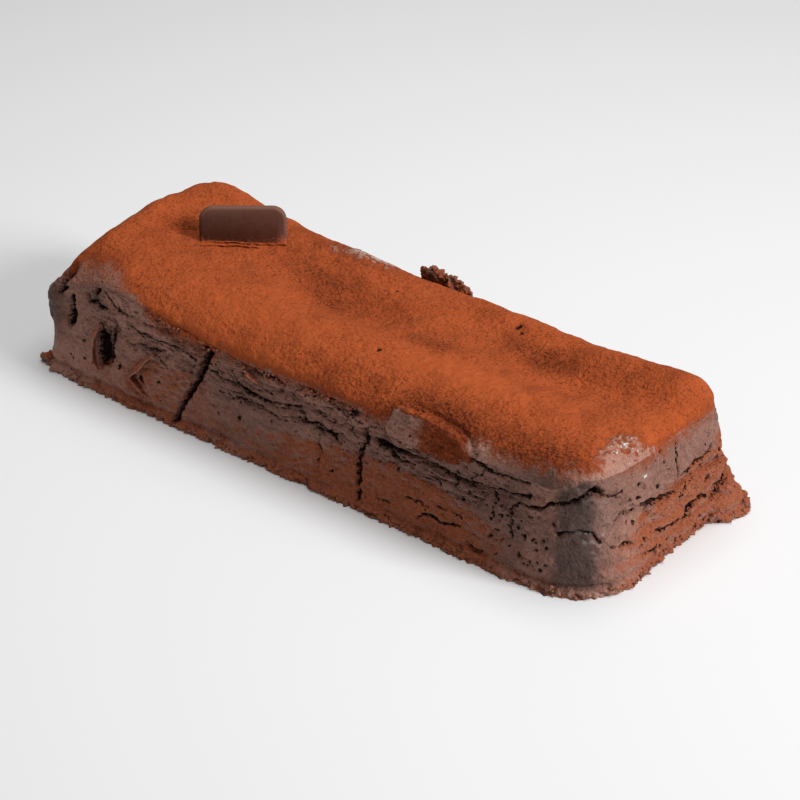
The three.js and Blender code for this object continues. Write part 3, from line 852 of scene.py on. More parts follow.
@dataclass(frozen=True)
class SideGrain:
    """Unevenness of the sides: along, up and into them."""

    wander_along: Grain = Grain(0.8, (2.4, 1.5, 1), 3, 1)
    wander_up: Grain = Grain(0.6, (3, 1.8, 1), 3, 2)
    lumps: Grain = Grain(0.45, (9, 6, 1), 3, 3)
    layers: Grain = Grain(0.34, (3.6, 1.4, 1), 4, 4)
    grit: Grain = Grain(1, (1.5, 1.2, 1), 3, 9)
    soft_wander: Grain = Grain(0.45, (5, 5, 1), 2, 11)
    fringe_edge: Grain = Grain(0.8, (3, 3, 1), 2, 10)
    fringe: Grain = Grain(1.7, (1.7, 1.5, 1), 3, 7)
    dust_edge: Grain = Grain(1.6, (6, 4, 1), 3, 8)
    crease_size: tuple[float, float, float] = (9, 1.7, 1)
    crease_seed: int = 5


@dataclass(frozen=True)
class TopGrain:
    """Unevenness of the top."""

    lumps: Grain = Grain(0.42, (9, 9, 9), 3, 21)
    clots: Grain = Grain(1, (2.2, 2.2, 2.2), 3, 22)
    worn: Grain = Grain(1.3, (1.6, 1.6, 1.6), 2, 25)
    wander: Grain = Grain(1.6, (2, 2, 2), 3, 26)


MASKS = ("powder", "opening", "dust", "thin", "polish", "torn", "crust", "moist_and_shade")
BARE = {
    "powder": -12.0, "opening": UNCUT, "dust": 0.5, "thin": 1.0, "polish": 0.0, "torn": 0.3, "crust": 0.0,
    "moist_and_shade": 0.0,
}


# ---------------------------------------------------------------- shader expressions

Value = Union["Wire", float, Sequence[float]]


class Wire:
    """A shader socket that takes part in Python expressions."""

    def __init__(self, board: "Board", socket: bpy.types.NodeSocket) -> None:
        """Holds a socket and the board that its nodes are on."""
        self.board = board
        self.socket = socket

    def __add__(self, other: Value) -> "Wire":
        """Adds."""
        return self.board.maths("ADD", self, other)

    def __sub__(self, other: Value) -> "Wire":
        """Takes away."""
        return self.board.maths("SUBTRACT", self, other)

    def __rsub__(self, other: Value) -> "Wire":
        """Takes this away from a number."""
        return self.board.maths("SUBTRACT", other, self)

    def __mul__(self, other: Value) -> "Wire":
        """Multiplies."""
        return self.board.maths("MULTIPLY", self, other)

    __radd__ = __add__
    __rmul__ = __mul__


@dataclass(frozen=True)
class Pattern:
    """Noise of a finish: the size of its lumps in millimetres, its finer detail, and how much it is bent."""

    size: float
    detail: float = 2.0
    roughness: float = 0.5
    bend: float = 0.0


class Board:
    """The node tree of one material."""

    def __init__(self, name: str) -> None:
        """Makes an empty material with one output."""
        self.material = bpy.data.materials.new(name)
        self.material.use_nodes = True
        self.tree = self.material.node_tree
        self.tree.nodes.clear()

    def node(
        self, kind: str, sockets: Mapping[Union[int, str], Value],
        settings: Union[Mapping[str, object], None] = None, out: Union[int, str] = 0,
    ) -> Wire:
        """Adds a node.

        Args:
            kind: Its type, without the ShaderNode prefix.
            sockets: Values or wires for its inputs, by name or number.
            settings: Its properties, set first.
            out: The output to give back.

        Returns:
            That output.
        """
        made = self.tree.nodes.new("ShaderNode" + kind)
        for name, value in (settings or {}).items():
            setattr(made, name, value)
        for name, value in sockets.items():
            if isinstance(value, Wire):
                self.tree.links.new(value.socket, made.inputs[name])
            else:
                made.inputs[name].default_value = value
        return Wire(self, made.outputs[out]) if len(made.outputs) else Wire(self, None)

    def maths(self, operation: str, a: Value, b: Value) -> Wire:
        """A Math node on two numbers."""
        return self.node("Math", {0: a, 1: b}, {"operation": operation})

    def larger(self, a: Value, b: Value) -> Wire:
        """The larger of two numbers."""
        return self.maths("MAXIMUM", a, b)

    def mix(self, share: Value, a: Value, b: Value) -> Wire:
        """Mixes two colours."""
        return self.node("Mix", {0: share, 6: a, 7: b}, {"data_type": "RGBA"}, out=2)

    def ramp(self, value: Value, low: float, high: float, start: float = 0.0, end: float = 1.0) -> Wire:
        """Eases a value between low and high on to start and end."""
        sockets = {0: value, 1: low, 2: high, 3: start, 4: end}
        return self.node("MapRange", sockets, {"interpolation_type": "SMOOTHSTEP"})

    def place(self, stretch: Sequence[float] = (1, 1, 1)) -> Wire:
        """Place on the piece in millimetres, squeezed along each axis by stretch."""
        at = self.node("TexCoord", {}, out="Object")
        scale = [1 / (MM * s) for s in stretch]
        return self.node("VectorMath", {0: at, 1: scale}, {"operation": "MULTIPLY"})

    def noise(self, at: Wire, pattern: Pattern) -> Wire:
        """Noise between 0 and 1."""
        return self.node("TexNoise", {
            "Vector": at,
            "Scale": 1 / pattern.size,
            "Detail": pattern.detail,
            "Roughness": pattern.roughness,
            "Distortion": pattern.bend,
        })

    def cells(self, at: Wire, size: float) -> Wire:
        """Distance from the middle of random cells of a size in millimetres, in cell sizes."""
        return self.node("TexVoronoi", {"Vector": at, "Scale": 1 / size}, out="Distance")

    def attribute(self, name: str) -> Wire:
        """A number that the mesh carries at each point."""
        return self.node("Attribute", {}, {"attribute_name": name}, out="Fac")

    def bump(self, height: Value, depth: float, under: "Wire | None" = None) -> Wire:
        """Small relief of a depth in millimetres, over other relief."""
        sockets: dict[str, Value] = {"Height": height, "Distance": depth * MM, "Strength": 1.0}
        if under is not None:
            sockets["Normal"] = under
        return self.node("Bump", sockets)

    def finish(self, sockets: Mapping[str, Value]) -> bpy.types.Material:
        """Ends the tree in one Principled shader.

        Args:
            sockets: Its values or wires by name.

        Returns:
            The material.
        """
        shader = self.node("BsdfPrincipled", sockets)
        self.node("OutputMaterial", {"Surface": shader})
        return self.material


Colour = tuple[float, float, float, float]


def paint(red: float, green: float, blue: float) -> Colour:
    """A linear colour with full cover."""
    return (red, green, blue, 1.0)


@dataclass(frozen=True)
class CakeFinish:
    """Cocoa powder over dense chocolate crumb, with bare, torn and polished places, painted shade in cracks,
    hollows and the powder's valleys, and painted white glints.
    """

    powder: Colour = paint(0.400, 0.080, 0.021)
    powder_pale: Colour = paint(0.52, 0.130, 0.043)
    # Dark powder, also painted shade in the powder's valleys and on slopes facing the front.
    powder_dark_and_shade: Colour = paint(0.170, 0.030, 0.008)
    # Painted shade between small clumps of powder.
    powder_clump_shadow: Colour = paint(0.085, 0.017, 0.006)
    crumb: Colour = paint(0.300, 0.137, 0.098)
    crumb_pale: Colour = paint(0.390, 0.190, 0.140)
    crumb_deep: Colour = paint(0.120, 0.052, 0.036)
    crust: Colour = paint(0.44, 0.215, 0.158)
    # Dark colour of moist crumb, also painted shade in hollows and recesses.
    moist_and_shade: Colour = paint(0.036, 0.016, 0.011)
    rust: Colour = paint(0.45, 0.118, 0.041)
    # Painted shade inside cracks, seams, pits and holes.
    crack_shade: Colour = paint(0.010, 0.005, 0.0035)
    # Painted white glints on polished places.
    painted_glint: Colour = paint(0.62, 0.56, 0.52)
    powder_roughness: float = 1.0
    crumb_roughness: float = 0.75
    polished_roughness: float = 0.45
    specular: float = 0.12
    wax: float = 0.22  # share of a faint sheen over the bare crumb
    wax_roughness: float = 0.42
    broad: Pattern = Pattern(12, 3, 0.6)
    mottle: Pattern = Pattern(7, 5, 0.62)
    clumps: Pattern = Pattern(5, 4, 0.6)
    clots: Pattern = Pattern(3, 2, 0.6)
    grain: Pattern = Pattern(1, 1)
    powder_grain: Pattern = Pattern(0.95, 1)
    crumb_grain: Pattern = Pattern(1.2, 1)
    glint_specks: Pattern = Pattern(0.8, 1)
    streaks: Pattern = Pattern(2.6, 5, 0.68)
    strata: Pattern = Pattern(2, 3, 0.6)
    fluff: Pattern = Pattern(1.5, 3, 0.65)
    flecks: Pattern = Pattern(1.6, 2, 0.6)
    pock_groups: Pattern = Pattern(6, 3)
    nick_groups: Pattern = Pattern(4, 3)
    pock_size: float = 2.9
    nick_size: float = 1.2

    def powder_colour(self, board: Board, at: Wire, thin: Wire) -> Wire:
        """Colour of the powder, with its grain, its thin places and its painted shade.

        Args:
            board: The material's nodes.
            at: Place in millimetres.
            thin: 0 where the powder is thick to 1 where it is thin and clotted, and where shade is painted;
                below 0 it is painted paler.

        Returns:
            The colour.
        """
        broad, clots = board.noise(at, self.broad), board.noise(at, self.clots)
        grain = board.noise(at, self.powder_grain)
        # Painted shade: through thin, the powder darkens in valleys, on slopes facing the front and in cast
        # shadows.
        shade = board.ramp(broad + 0.38 * thin, 0.42, 0.86)
        deep = board.mix(shade * 0.62, self.powder, self.powder_dark_and_shade)
        pale = board.ramp(clots + grain, 1.08, 1.36) * (0.5 - 0.25 * thin)
        light = board.mix(pale, deep, self.powder_pale)
        # Painted shade: dark specks stand for the shadows between small clumps.
        clump_shadow = board.ramp(0.6 * grain - 0.3 * clots + 0.05 * thin, 0.15, 0.29)
        return board.mix(clump_shadow * (0.5 + 0.4 * thin), light, self.powder_clump_shadow)

    def crumb_colour(self, board: Board, at: Wire, layers: Wire, masks: Mapping[str, Wire]) -> Wire:
        """Colour of the bare crumb, mottled and layered, darker where damp and where shade is painted in
        hollows.

        Args:
            board: The material's nodes.
            at: Place in millimetres.
            layers: The same, squeezed so that patterns run level.
            masks: What the mesh carries at each point, by name.

        Returns:
            The colour.
        """
        mottle, grain = board.noise(at, self.mottle), board.noise(at, self.crumb_grain)
        streak = board.noise(layers, self.streaks)
        tone = board.mix(board.ramp(mottle + 0.7 * grain, 0.62, 1.15), self.crumb, self.crumb_pale)
        seams = board.ramp(streak, 0.36, 0.50, 1.0, 0.0) * (0.15 + 0.75 * masks["torn"])
        tone = board.mix(seams, tone, self.crumb_deep)
        crusty = board.ramp(masks["crust"] + 0.8 * (grain - 0.5), 0.2, 0.9)
        tone = board.mix(crusty * 0.7, tone, self.crust)
        # Darker where moist, and painted shade in hollows and recesses.
        return board.mix(masks["moist_and_shade"] * 0.92, tone, self.moist_and_shade)

    def holes(self, board: Board, at: Wire, torn: Wire) -> Wire:
        """Where small holes break the bare crumb, painted dark as painted shade.

        Args:
            board: The material's nodes.
            at: Place in millimetres.
            torn: How torn the crumb is.

        Returns:
            1 in a hole, 0 outside.
        """
        pocks = board.cells(at, self.pock_size) + 0.9 * board.noise(at, self.pock_groups)
        squeezed = board.place((1.5, 1.5, 1.0))
        nicks = board.cells(squeezed, self.nick_size) + 1.1 * board.noise(at, self.nick_groups)
        flecks = board.noise(board.place((1.7, 1.7, 0.8)), self.flecks)
        nicked = board.ramp(nicks, 0.56, 0.64, 0.9, 0.0)
        flecked = board.ramp(flecks, 0.63, 0.69) * 0.75
        pocked = board.ramp(pocks, 0.42, 0.50, 1.0, 0.0)
        return board.larger(pocked, board.larger(nicked, flecked) * (0.15 + 0.85 * torn))

    def make(self) -> bpy.types.Material:
        """The material of the cake and of the flakes and crumbs that come off it."""
        board = Board("cocoa_dusted_crumb")
        at, layers = board.place(), board.place((3.0, 3.0, 0.8))
        masks = {name: board.attribute(name) for name in MASKS}
        dust, thin, polish = masks["dust"], masks["thin"], masks["polish"]
        torn, moist_and_shade = masks["torn"], masks["moist_and_shade"]
        clumps, clots, grain = (board.noise(at, each) for each in (self.clumps, self.clots, self.grain))
        # Bare crumb, dusted lower down, with painted white glints where it is polished.
        crumb = self.crumb_colour(board, at, layers, masks)
        dusting = board.ramp(dust + 0.6 * clumps + 0.3 * clots + 0.3 * grain, 0.86, 1.36)
        rusty = board.mix(dusting * 0.82, crumb, board.mix(grain, self.powder_dark_and_shade, self.rust))
        # Painted highlight: white glints where the crumb is polished.
        glint_specks = board.ramp(0.42 * polish + board.noise(at, self.glint_specks), 0.99, 1.1)
        glinted = board.mix(glint_specks, rusty, self.painted_glint)
        # Powder over it, thin and dark along its ragged edge.
        ragged = masks["powder"] + 8.0 * (clumps - 0.5) + 8.0 * (clots - 0.5) + 7.0 * (grain - 0.5)
        covered = board.ramp(ragged, -3.6, 3.0)
        edge = board.ramp(ragged, 1.0, 7.0, 0.5, 0.0)
        powder = board.mix(edge, self.powder_colour(board, at, thin), self.powder_dark_and_shade)
        skin = board.mix(covered, glinted, powder)
        # Cracks and holes are painted dark, as painted shade.
        bare = 1 - covered
        holes = self.holes(board, at, torn) * bare
        crack = board.ramp(masks["opening"] + 1.5 * (grain - 0.5), -0.12, 0.2, 1.0, 0.0)
        dark = board.larger(crack, holes * (1 - 0.6 * moist_and_shade))
        smooth_skin = board.ramp(polish + 0.5 * moist_and_shade + 0.5 * (grain - 0.5), 0.2, 0.7)
        bare_roughness = board.ramp(smooth_skin, 0, 1, self.crumb_roughness, self.polished_roughness)
        relief = board.noise(at, self.fluff) * (0.6 + covered * (0.6 * thin - 0.2)) - 0.5 * holes
        fine = board.bump(relief, 1.8)
        coarse = board.bump(clots * (1 - 0.5 * covered) - 0.8 * crack, 1.2, fine)
        return board.finish({
            "Base Color": board.mix(dark * 0.95, skin, self.crack_shade),
            "Roughness": bare_roughness + covered * (self.powder_roughness - self.crumb_roughness),
            "Specular IOR Level": self.specular,
            "Coat Weight": bare * (self.wax + 0.38 * smooth_skin) * (1 - dusting * 0.8) * (1 - dark),
            "Coat Roughness": self.wax_roughness,
            "Normal": board.bump(board.noise(layers, self.strata) * torn, 1.6, coarse),
        })


@dataclass(frozen=True)
class PlaqueFinish:
    """Smooth dark chocolate with a few scuffs, a painted highlight along its top and right edges and on its
    bevels, and powder clinging low down.
    """

    chocolate: Colour = paint(0.048, 0.012, 0.005)
    # Lighter colour of scuffs and of the painted highlight.
    scuffed_and_highlit: Colour = paint(0.155, 0.062, 0.040)
    powder: Colour = paint(0.45, 0.10, 0.028)
    roughness: float = 0.36
    specular: float = 0.38
    scuffs: Pattern = Pattern(2.4, 4, 0.62, bend=0.6)
    grain: Pattern = Pattern(0.5)

    def make(self) -> bpy.types.Material:
        """The plaque's material."""
        board = Board("dark_chocolate")
        at = board.place()
        edge, dust = board.attribute("edge"), board.attribute("dust")
        scuff = board.noise(at, self.scuffs)
        # Painted highlight along the top and right edges and on the bevels, mixed with scuffs.
        worn = board.ramp(edge + 0.35 * scuff, 0.15, 1.15)
        tone = board.mix(worn, self.chocolate, self.scuffed_and_highlit)
        dusty = board.ramp(dust + 0.6 * board.noise(at, self.grain), 0.8, 1.1)
        return board.finish({
            "Base Color": board.mix(dusty, tone, self.powder),
            "Roughness": self.roughness + 0.25 * worn + 0.5 * dusty,
            "Specular IOR Level": self.specular,
            "Normal": board.bump(scuff + dusty, 0.12),
        })


# ---------------------------------------------------------------- pieces

def object_of(name: str, mesh: bpy.types.Mesh, material: bpy.types.Material) -> bpy.types.Object:
    """Makes a piece of the object from a finished mesh in millimetres.

    Args:
        name: The piece's name.
        mesh: Its mesh.
        material: Its material.

    Returns:
        The piece, in the scene.
    """
    settle(mesh)
    mesh.transform(Matrix.Translation(Vector(SHIFT) * MM) @ Matrix.Diagonal((MM, MM, MM, 1)))
    mesh.materials.append(material)
    mesh.shade_smooth()
    piece = bpy.data.objects.new(name, mesh)
    bpy.context.scene.collection.objects.link(piece)
    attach(piece, BODY)
    return piece


def store(mesh: bpy.types.Mesh, name: str, values: Array) -> None:
    """Keeps one number a point on a mesh, in place of what it had under that name."""
    layer = mesh.attributes.get(name) or mesh.attributes.new(name, "FLOAT", "POINT")
    layer.data.foreach_set("value", np.asarray(values, np.float32))


def points_of(mesh: bpy.types.Mesh) -> Array:
    """The points of a mesh, one a row."""
    points = np.zeros(len(mesh.vertices) * 3, np.float32)
    mesh.vertices.foreach_get("co", points)
    return points.reshape(-1, 3).astype(float)


def move(mesh: bpy.types.Mesh, points: Array) -> None:
    """Puts a mesh's points at new places."""
    mesh.vertices.foreach_set("co", points.astype(np.float32).ravel())
    mesh.update()


def normals_of(mesh: bpy.types.Mesh) -> Array:
    """The way each point of a mesh faces."""
    facing = np.zeros(len(mesh.vertices) * 3, np.float32)
    mesh.vertex_normals.foreach_get("vector", facing)
    return facing.reshape(-1, 3).astype(float)


def settle(mesh: bpy.types.Mesh) -> None:
    """Gathers a mesh's dust where it faces up, and thins it where it faces down."""
    dust = np.zeros(len(mesh.vertices), np.float32)
    mesh.attributes["dust"].data.foreach_get("value", dust)
    store(mesh, "dust", dust * (0.85 + 0.8 * normals_of(mesh)[:, 2]))


def mesh_of(shape: bmesh.types.BMesh, name: str) -> bpy.types.Mesh:
    """Turns a bmesh into a mesh and frees it."""
    bmesh.ops.recalc_face_normals(shape, faces=shape.faces)
    mesh = bpy.data.meshes.new(name)
    shape.to_mesh(mesh)
    shape.free()
    return mesh


@dataclass
class CakeBody:
    """The cake itself: one closed mesh with its cracks, torn layers and powder."""

    form: CakeForm
    look: SideLook
    material: bpy.types.Material
    along: int = 540
    across: int = 180
    down: int = 90
    seed: int = 11
    triangles: int = 190_000
    side_grain: SideGrain = SideGrain()
    top_grain: TopGrain = TopGrain()

    def block(self) -> bpy.types.Mesh:
        """A closed block of unit half sizes with a fine grid on its top and sides.

        Returns:
            The mesh. Its top is at height 0 and its foot at -1.
        """
        shape = bmesh.new()
        bmesh.ops.create_grid(shape, x_segments=self.along, y_segments=self.across, size=1)
        rim = [edge for edge in shape.edges if edge.is_boundary]
        fresh = bmesh.ops.extrude_edge_only(shape, edges=rim)["geom"]
        foot = [item for item in fresh if isinstance(item, bmesh.types.BMVert)]
        bmesh.ops.translate(shape, verts=foot, vec=(0, 0, -1))
        upright = [e for e in shape.edges if abs(e.verts[0].co.z - e.verts[1].co.z) > 0.5]
        bmesh.ops.subdivide_edges(shape, edges=upright, cuts=self.down - 1, use_grid_fill=True)
        under = bmesh.ops.contextual_create(shape, geom=[e for e in shape.edges if e.is_boundary])
        bmesh.ops.poke(shape, faces=under["faces"])
        return mesh_of(shape, "cake")

    def tear(self, place: Array, z: Array) -> Array:
        """How torn the sides are, between 0 and 1: the right end's crust is whole."""
        over_crevice = z - round_girth(GROOVE_LEVEL[Groove.CREVICE], place)
        on_end = smooth(place, right(-34), right(-22)) * fade(place, right(34), back(112))
        return round_girth(self.look.tear, place) * (1 - 0.8 * on_end * smooth(over_crevice, 0, 2.4))

    def tear_layers(self, carving: Carving, flat: Array, torn: Array) -> None:
        """Cuts the fine level creases of the torn upper part, and paints them dark as painted shade.

        Args:
            carving: What is cut.
            flat: Points of the sides, unrolled.
            torn: How torn the upper part is, and 0 below it.
        """
        grain = self.side_grain
        creases = smooth(ridged(flat, grain.crease_size, grain.crease_seed), 0.74, 1) * torn
        carving.relief = carving.relief - 0.9 * creases
        creased = np.minimum(carving.opening, 0.8 - 1.05 * creases)
        carving.opening = np.where(torn > 0.25, creased, carving.opening)

    def side_relief(self, place: Array, z: Array) -> tuple[Array, dict[str, Array]]:
        """How far the sides stand in or out of their smooth form, and what shows on them.

        Args:
            place: Distances round the rim.
            z: Heights.

        Returns:
            The relief, outwards, and the finish's masks.
        """
        grain = self.side_grain
        flat = np.stack([place, z, np.full_like(z, self.seed)], -1)
        tear = self.tear(place, z)
        relief = grain.lumps.at(flat) * (0.4 + tear) + grain.layers.at(flat) * (0.3 + tear)
        relief += (0.12 + 0.16 * tear) * grain.grit.at(flat)
        carving = Carving(relief, np.full(place.shape, UNCUT))
        self.tear_layers(carving, flat, smooth(z, 17, 22) * tear)
        along, up = place + grain.wander_along.at(flat), z + grain.wander_up.at(flat)
        along = np.where(along > GIRTH - 30, along - GIRTH, along)  # past the last corner, back to the first
        # Each cut also paints its inside dark through the opening, as painted shade.
        for groove, level in GROOVE_LEVEL.items():
            depth = round_girth(GROOVE_DEPTH[groove], place)
            carving.cut(np.abs(up - round_girth(level, place)), depth, SEAM_EDGE, 0.42 * depth)
        soft_along = along + grain.soft_wander.at(flat)
        hollowed = np.zeros_like(z)
        for hollow in HOLLOWS.values():
            off = hollow.signed(soft_along, z)
            hollowed = np.maximum(hollowed, fade(off, HOLLOW_EDGE.deepest, 0.3))
            carving.cut(off, hollow.depth, HOLLOW_EDGE)
        for crack in CRACKS.values():
            carving.cut(crack.signed(along, up), crack.depth, CRACK_EDGE)
        for pit in (*PITS, *pit_cluster()):
            carving.cut(Cut(PIT_DEPTH, (pit,)).signed(along, up), PIT_DEPTH, PIT_EDGE)
        fringe = fade(z + grain.fringe_edge.at(flat), 1.6, 3.2)
        relief = carving.relief + fringe * (0.3 + grain.fringe.at(flat))
        under_rim = z - self.form.rim(place)
        dusty = round_girth(self.look.dust_level, place) - z - grain.dust_edge.at(flat)
        dust = 1.12 * smooth(dusty, -2.5, 2.5) + 0.3 * fade(z, 1.4, 3)
        masks = {
            "powder": np.clip(under_rim - round_girth(self.look.powder_edge, place), -12, 12),
            "opening": carving.opening,
            "dust": round_girth(self.look.dust, place) * dust,
            "thin": np.full(z.shape, -0.2),
            "polish": np.clip(total(self.look.polished_spots, place, z), 0, 1.4),
            "torn": tear * smooth(z, 11, 20),
            "crust": self.crust(place, z, under_rim),
            # Painted shade: hollows are darkened through the moist mask.
            "moist_and_shade": np.maximum(self.moist_and_shade(place, z, under_rim), hollowed),
        }
        return relief, masks

    @staticmethod
    def crust(place: Array, z: Array, under_rim: Array) -> Array:
        """Where the sides are pale and dry: under the front rim, near the foot and low on the left."""
        on_front = np.where((place < LENGTH) & (place > front(-104)), 1.0, 0.0)
        low_left = fade(place, front(-92), front(-60)) * fade(z, 6, 18)
        return np.clip(smooth(under_rim, -5.5, -3.5) * on_front + 0.8 * fade(z, 2, 4) + 0.8 * low_left, 0, 1)

    def moist_and_shade(self, place: Array, z: Array, under_rim: Array) -> Array:
        """Where the bare chocolate is dark and smooth, between 0 and 1: damp crumb, and painted shade in
        recesses.
        """
        usual = round_girth(self.look.moist_and_shade, place) * fade(under_rim, -2, 2) * smooth(z, 0, 5)
        turned = np.where(place > GIRTH / 2, place - GIRTH, place)
        on_end = smooth(place, right(-30), right(-20)) * fade(place, right(38), back(110)) * smooth(z, 18, 24)
        return np.clip(usual + total(self.look.moist_and_shade_spots, turned, z) + 0.26 * on_end, 0, 1)

    def top_relief(self, points: Array, to_end: Array, to_side: Array) -> tuple[Array, dict[str, Array]]:
        """How far the top stands in or out of its smooth form, and what shows on it.

        Args:
            points: Points of the top.
            to_end: Ways over the surface to the nearer end.
            to_side: Ways over the surface to the nearer side.

        Returns:
            The relief, outwards, and the finish's masks.
        """
        grain, look = self.top_grain, self.look
        x, y = points[:, 0], points[:, 1]
        edges = (
            (to_side, front(x), y > 0), (to_side, back(x), y <= 0),
            (to_end, right(y), x <= 0), (to_end, left(y), x > 0),
        )
        inside = [way - round_girth(look.powder_edge, place) + 99 * other for way, place, other in edges]
        worn = np.clip(1 + grain.worn.at(points), 0.1, 1.8)
        bald = total(look.bald_spots, x, y) * worn
        # Painted shade on the powder of slopes that face the front, through thin.
        shaded_front_slope = fade(to_side + 30 * (y > 0), 4, 22)
        thin = shaded_front_slope * (0.3 + 0.35 * smooth(x, -40, 30)) + total(look.thin_and_shaded_spots, x, y)
        thin = np.clip(thin, -0.7, 1)
        relief = grain.lumps.at(points) + (0.12 + 0.16 * np.maximum(thin, 0)) * grain.clots.at(points)
        carving = Carving(relief, np.full(x.shape, UNCUT))
        groove = Cut(1.1, TOP_GROOVE)
        carving.cut(groove.signed(x + grain.wander.at(points), y), groove.depth, TOP_GROOVE_EDGE)
        recess = np.hypot(x - look.top_recess[0], y - look.top_recess[1])
        carving.cut(recess, 3.2, TOP_RECESS_EDGE)
        for hole_x, hole_y, wide, deep in TOP_HOLES:
            carving.cut(np.hypot(x - hole_x, 0.7 * (y - hole_y)) - wide / 2, deep, TOP_HOLE_EDGE)
        # Painted shade in the recess at the front left corner, and moist crumb at the front right corner and
        # the left end.
        moist_and_shade = look.moist_corner.over(x, y) + fade(recess, 2, 6) + 0.3 * fade(x, -90, -70)
        masks = {
            "powder": np.clip(np.min(inside, 0), -12, 9) - 17 * bald,
            "opening": carving.opening,
            "dust": np.full(x.shape, 0.3),
            "thin": thin,
            "polish": np.clip(1.2 * bald, 0, 1.4),
            "torn": np.zeros_like(x),
            "crust": smooth(x, -84, -60),
            "moist_and_shade": np.clip(moist_and_shade, 0, 1),
        }
        return carving.relief, masks

    def build(self) -> bpy.types.Object:
        """Builds the cake.

        Returns:
            The piece, which stands for the cake's solid.
        """
        mesh = self.block()
        unit = points_of(mesh)
        is_top = unit[:, 2] > -1e-6
        is_middle = (np.abs(unit[:, 0]) < 1e-6) & (np.abs(unit[:, 1]) < 1e-6) & (unit[:, 2] < -0.9)
        is_side = ~is_top & ~is_middle
        points = np.zeros_like(unit)
        top, to_end, to_side = self.form.top(unit[is_top, 0], unit[is_top, 1])
        u, v = unit[is_side, 0], unit[is_side, 1]
        x, y = self.form.spread(u, v)[:2]
        near = 1 - 1e-5
        place = np.select([v < -near, u > near, v > near], [front(x), right(y), back(x)], left(y))
        z = self.form.rim(place) * (1 + unit[is_side, 2])
        points[is_top] = top
        points[is_side], outward = self.form.side(place, z)
        move(mesh, points)
        facing = normals_of(mesh)
        relief, masks = self.side_relief(place, z)
        top_relief, top_masks = self.top_relief(top, to_end, to_side)
        points[is_side] += outward * relief[:, None]
        points[is_top] += facing[is_top] * top_relief[:, None]
        move(mesh, points)
        for name in masks:
            values = np.zeros(len(unit))
            values[is_side], values[is_top] = masks[name], top_masks[name]
            store(mesh, name, values)
        piece = object_of("cake_body", self.thinned(mesh, points), self.material)
        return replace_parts(piece, "cake")

    def thinned(self, mesh: bpy.types.Mesh, points: Array) -> bpy.types.Mesh:
        """Merges faces where they show least: on the back, the left end, the underside and the top.

        Args:
            mesh: The full mesh.
            points: Its points.

        Returns:
            A mesh with about the wanted number of triangles.
        """
        draft = bpy.data.objects.new("draft", mesh)
        bpy.context.scene.collection.objects.link(draft)
        group = draft.vertex_groups.new(name="plain")
        x, y, z = points.T
        on_front, on_right = y < RIM_Y[0] + 1.5, x > RIM_X[1] - 1.5
        plain = np.where(on_front | on_right, 0.08, np.where(z > 30, 0.3, 1.0))  # share of the merging
        for share in np.unique(plain):
            group.add(np.flatnonzero(plain == share).tolist(), float(share), "REPLACE")
        thin = draft.modifiers.new("thin", "DECIMATE")
        thin.ratio = self.triangles / (2 * len(mesh.polygons))
        thin.vertex_group = group.name
        thin.vertex_group_factor = 1.0
        shaped = draft.evaluated_get(bpy.context.evaluated_depsgraph_get())
        made = bpy.data.meshes.new_from_object(shaped)
        points = points_of(made)
        points[:, 2] = np.maximum(points[:, 2], 0)
        move(made, points)
        bpy.data.objects.remove(draft)
        return made


@dataclass
class Plaque:
    """The small plain plaque of dark chocolate that stands in the top."""

    material: bpy.types.Material
    width: float = 31.5
    height: float = 21.0
    thick: float = 3.0
    corner: float = 5.0
    edge: float = 1.3
    sunk: float = 7.0
    place: tuple[float, float, float] = (-77.4, 13.6, 43.2)
    turn: float = 41.0  # degrees about Z
    lean: float = 8.0  # degrees back from upright
    highlight_down: float = 8.0  # how far down from its top the scuffs and the painted highlight reach
    highlight_in: float = 3.4  # how far in from its right edge they reach
    dusty: float = 2.4  # height over the cake that powder clings to

    @property
    def pose(self) -> Matrix:
        """From the plaque's own frame, where it stands up Y, to its place."""
        spin = Matrix.Rotation(math.radians(self.turn), 4, "Z")
        tilt = Matrix.Rotation(math.radians(90 - self.lean), 4, "X")
        return Matrix.Translation(self.place) @ spin @ tilt

    def build(self) -> bpy.types.Object:
        """Builds the plaque.

        Returns:
            The piece, which stands for the plaque's solid.
        """
        shape = bmesh.new()
        size = Matrix.Diagonal((self.width, self.height, self.thick, 1))
        middle = Matrix.Translation((0, self.height / 2 - self.sunk, 0))
        bmesh.ops.create_cube(shape, size=1, matrix=middle @ size)
        upright = [e for e in shape.edges if abs(e.verts[0].co.z - e.verts[1].co.z) > self.thick / 2]
        bmesh.ops.bevel(
            shape, geom=upright, offset=self.corner, offset_type="OFFSET", affect="EDGES", segments=12,
            profile=0.5, material=-1,
        )
        outline = [e for e in shape.edges if abs(e.verts[0].co.z - e.verts[1].co.z) < 1e-4]
        bmesh.ops.bevel(
            shape, geom=outline, offset=self.edge, offset_type="OFFSET", affect="EDGES", segments=5,
            profile=0.5, material=-1,
        )
        mesh = mesh_of(shape, "plaque")
        points = points_of(mesh)
        edge = fade(self.thick / 2 - np.abs(points[:, 2]), 0.0, 0.05)
        up = points[:, 1] + self.sunk
        high = smooth(up, self.height - self.highlight_down, self.height - 1)
        far = smooth(points[:, 0], self.width / 2 - self.highlight_in, self.width / 2 - 1)
        # Painted highlight: lighter along the top and right edges and on the bevels.
        store(mesh, "edge", np.maximum(high, far) * (1 - 0.35 * edge))
        store(mesh, "dust", 1.05 * fade(points[:, 1], 0.6, self.dusty))
        points[:, 2] += 0.12 * ripple(points[:, 0] / 7, points[:, 1] / 5, 3)
        move(mesh, points)
        mesh.transform(self.pose)
        piece = object_of("chocolate_plaque_smooth", mesh, self.material)
        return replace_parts(piece, "chocolate_plaque")


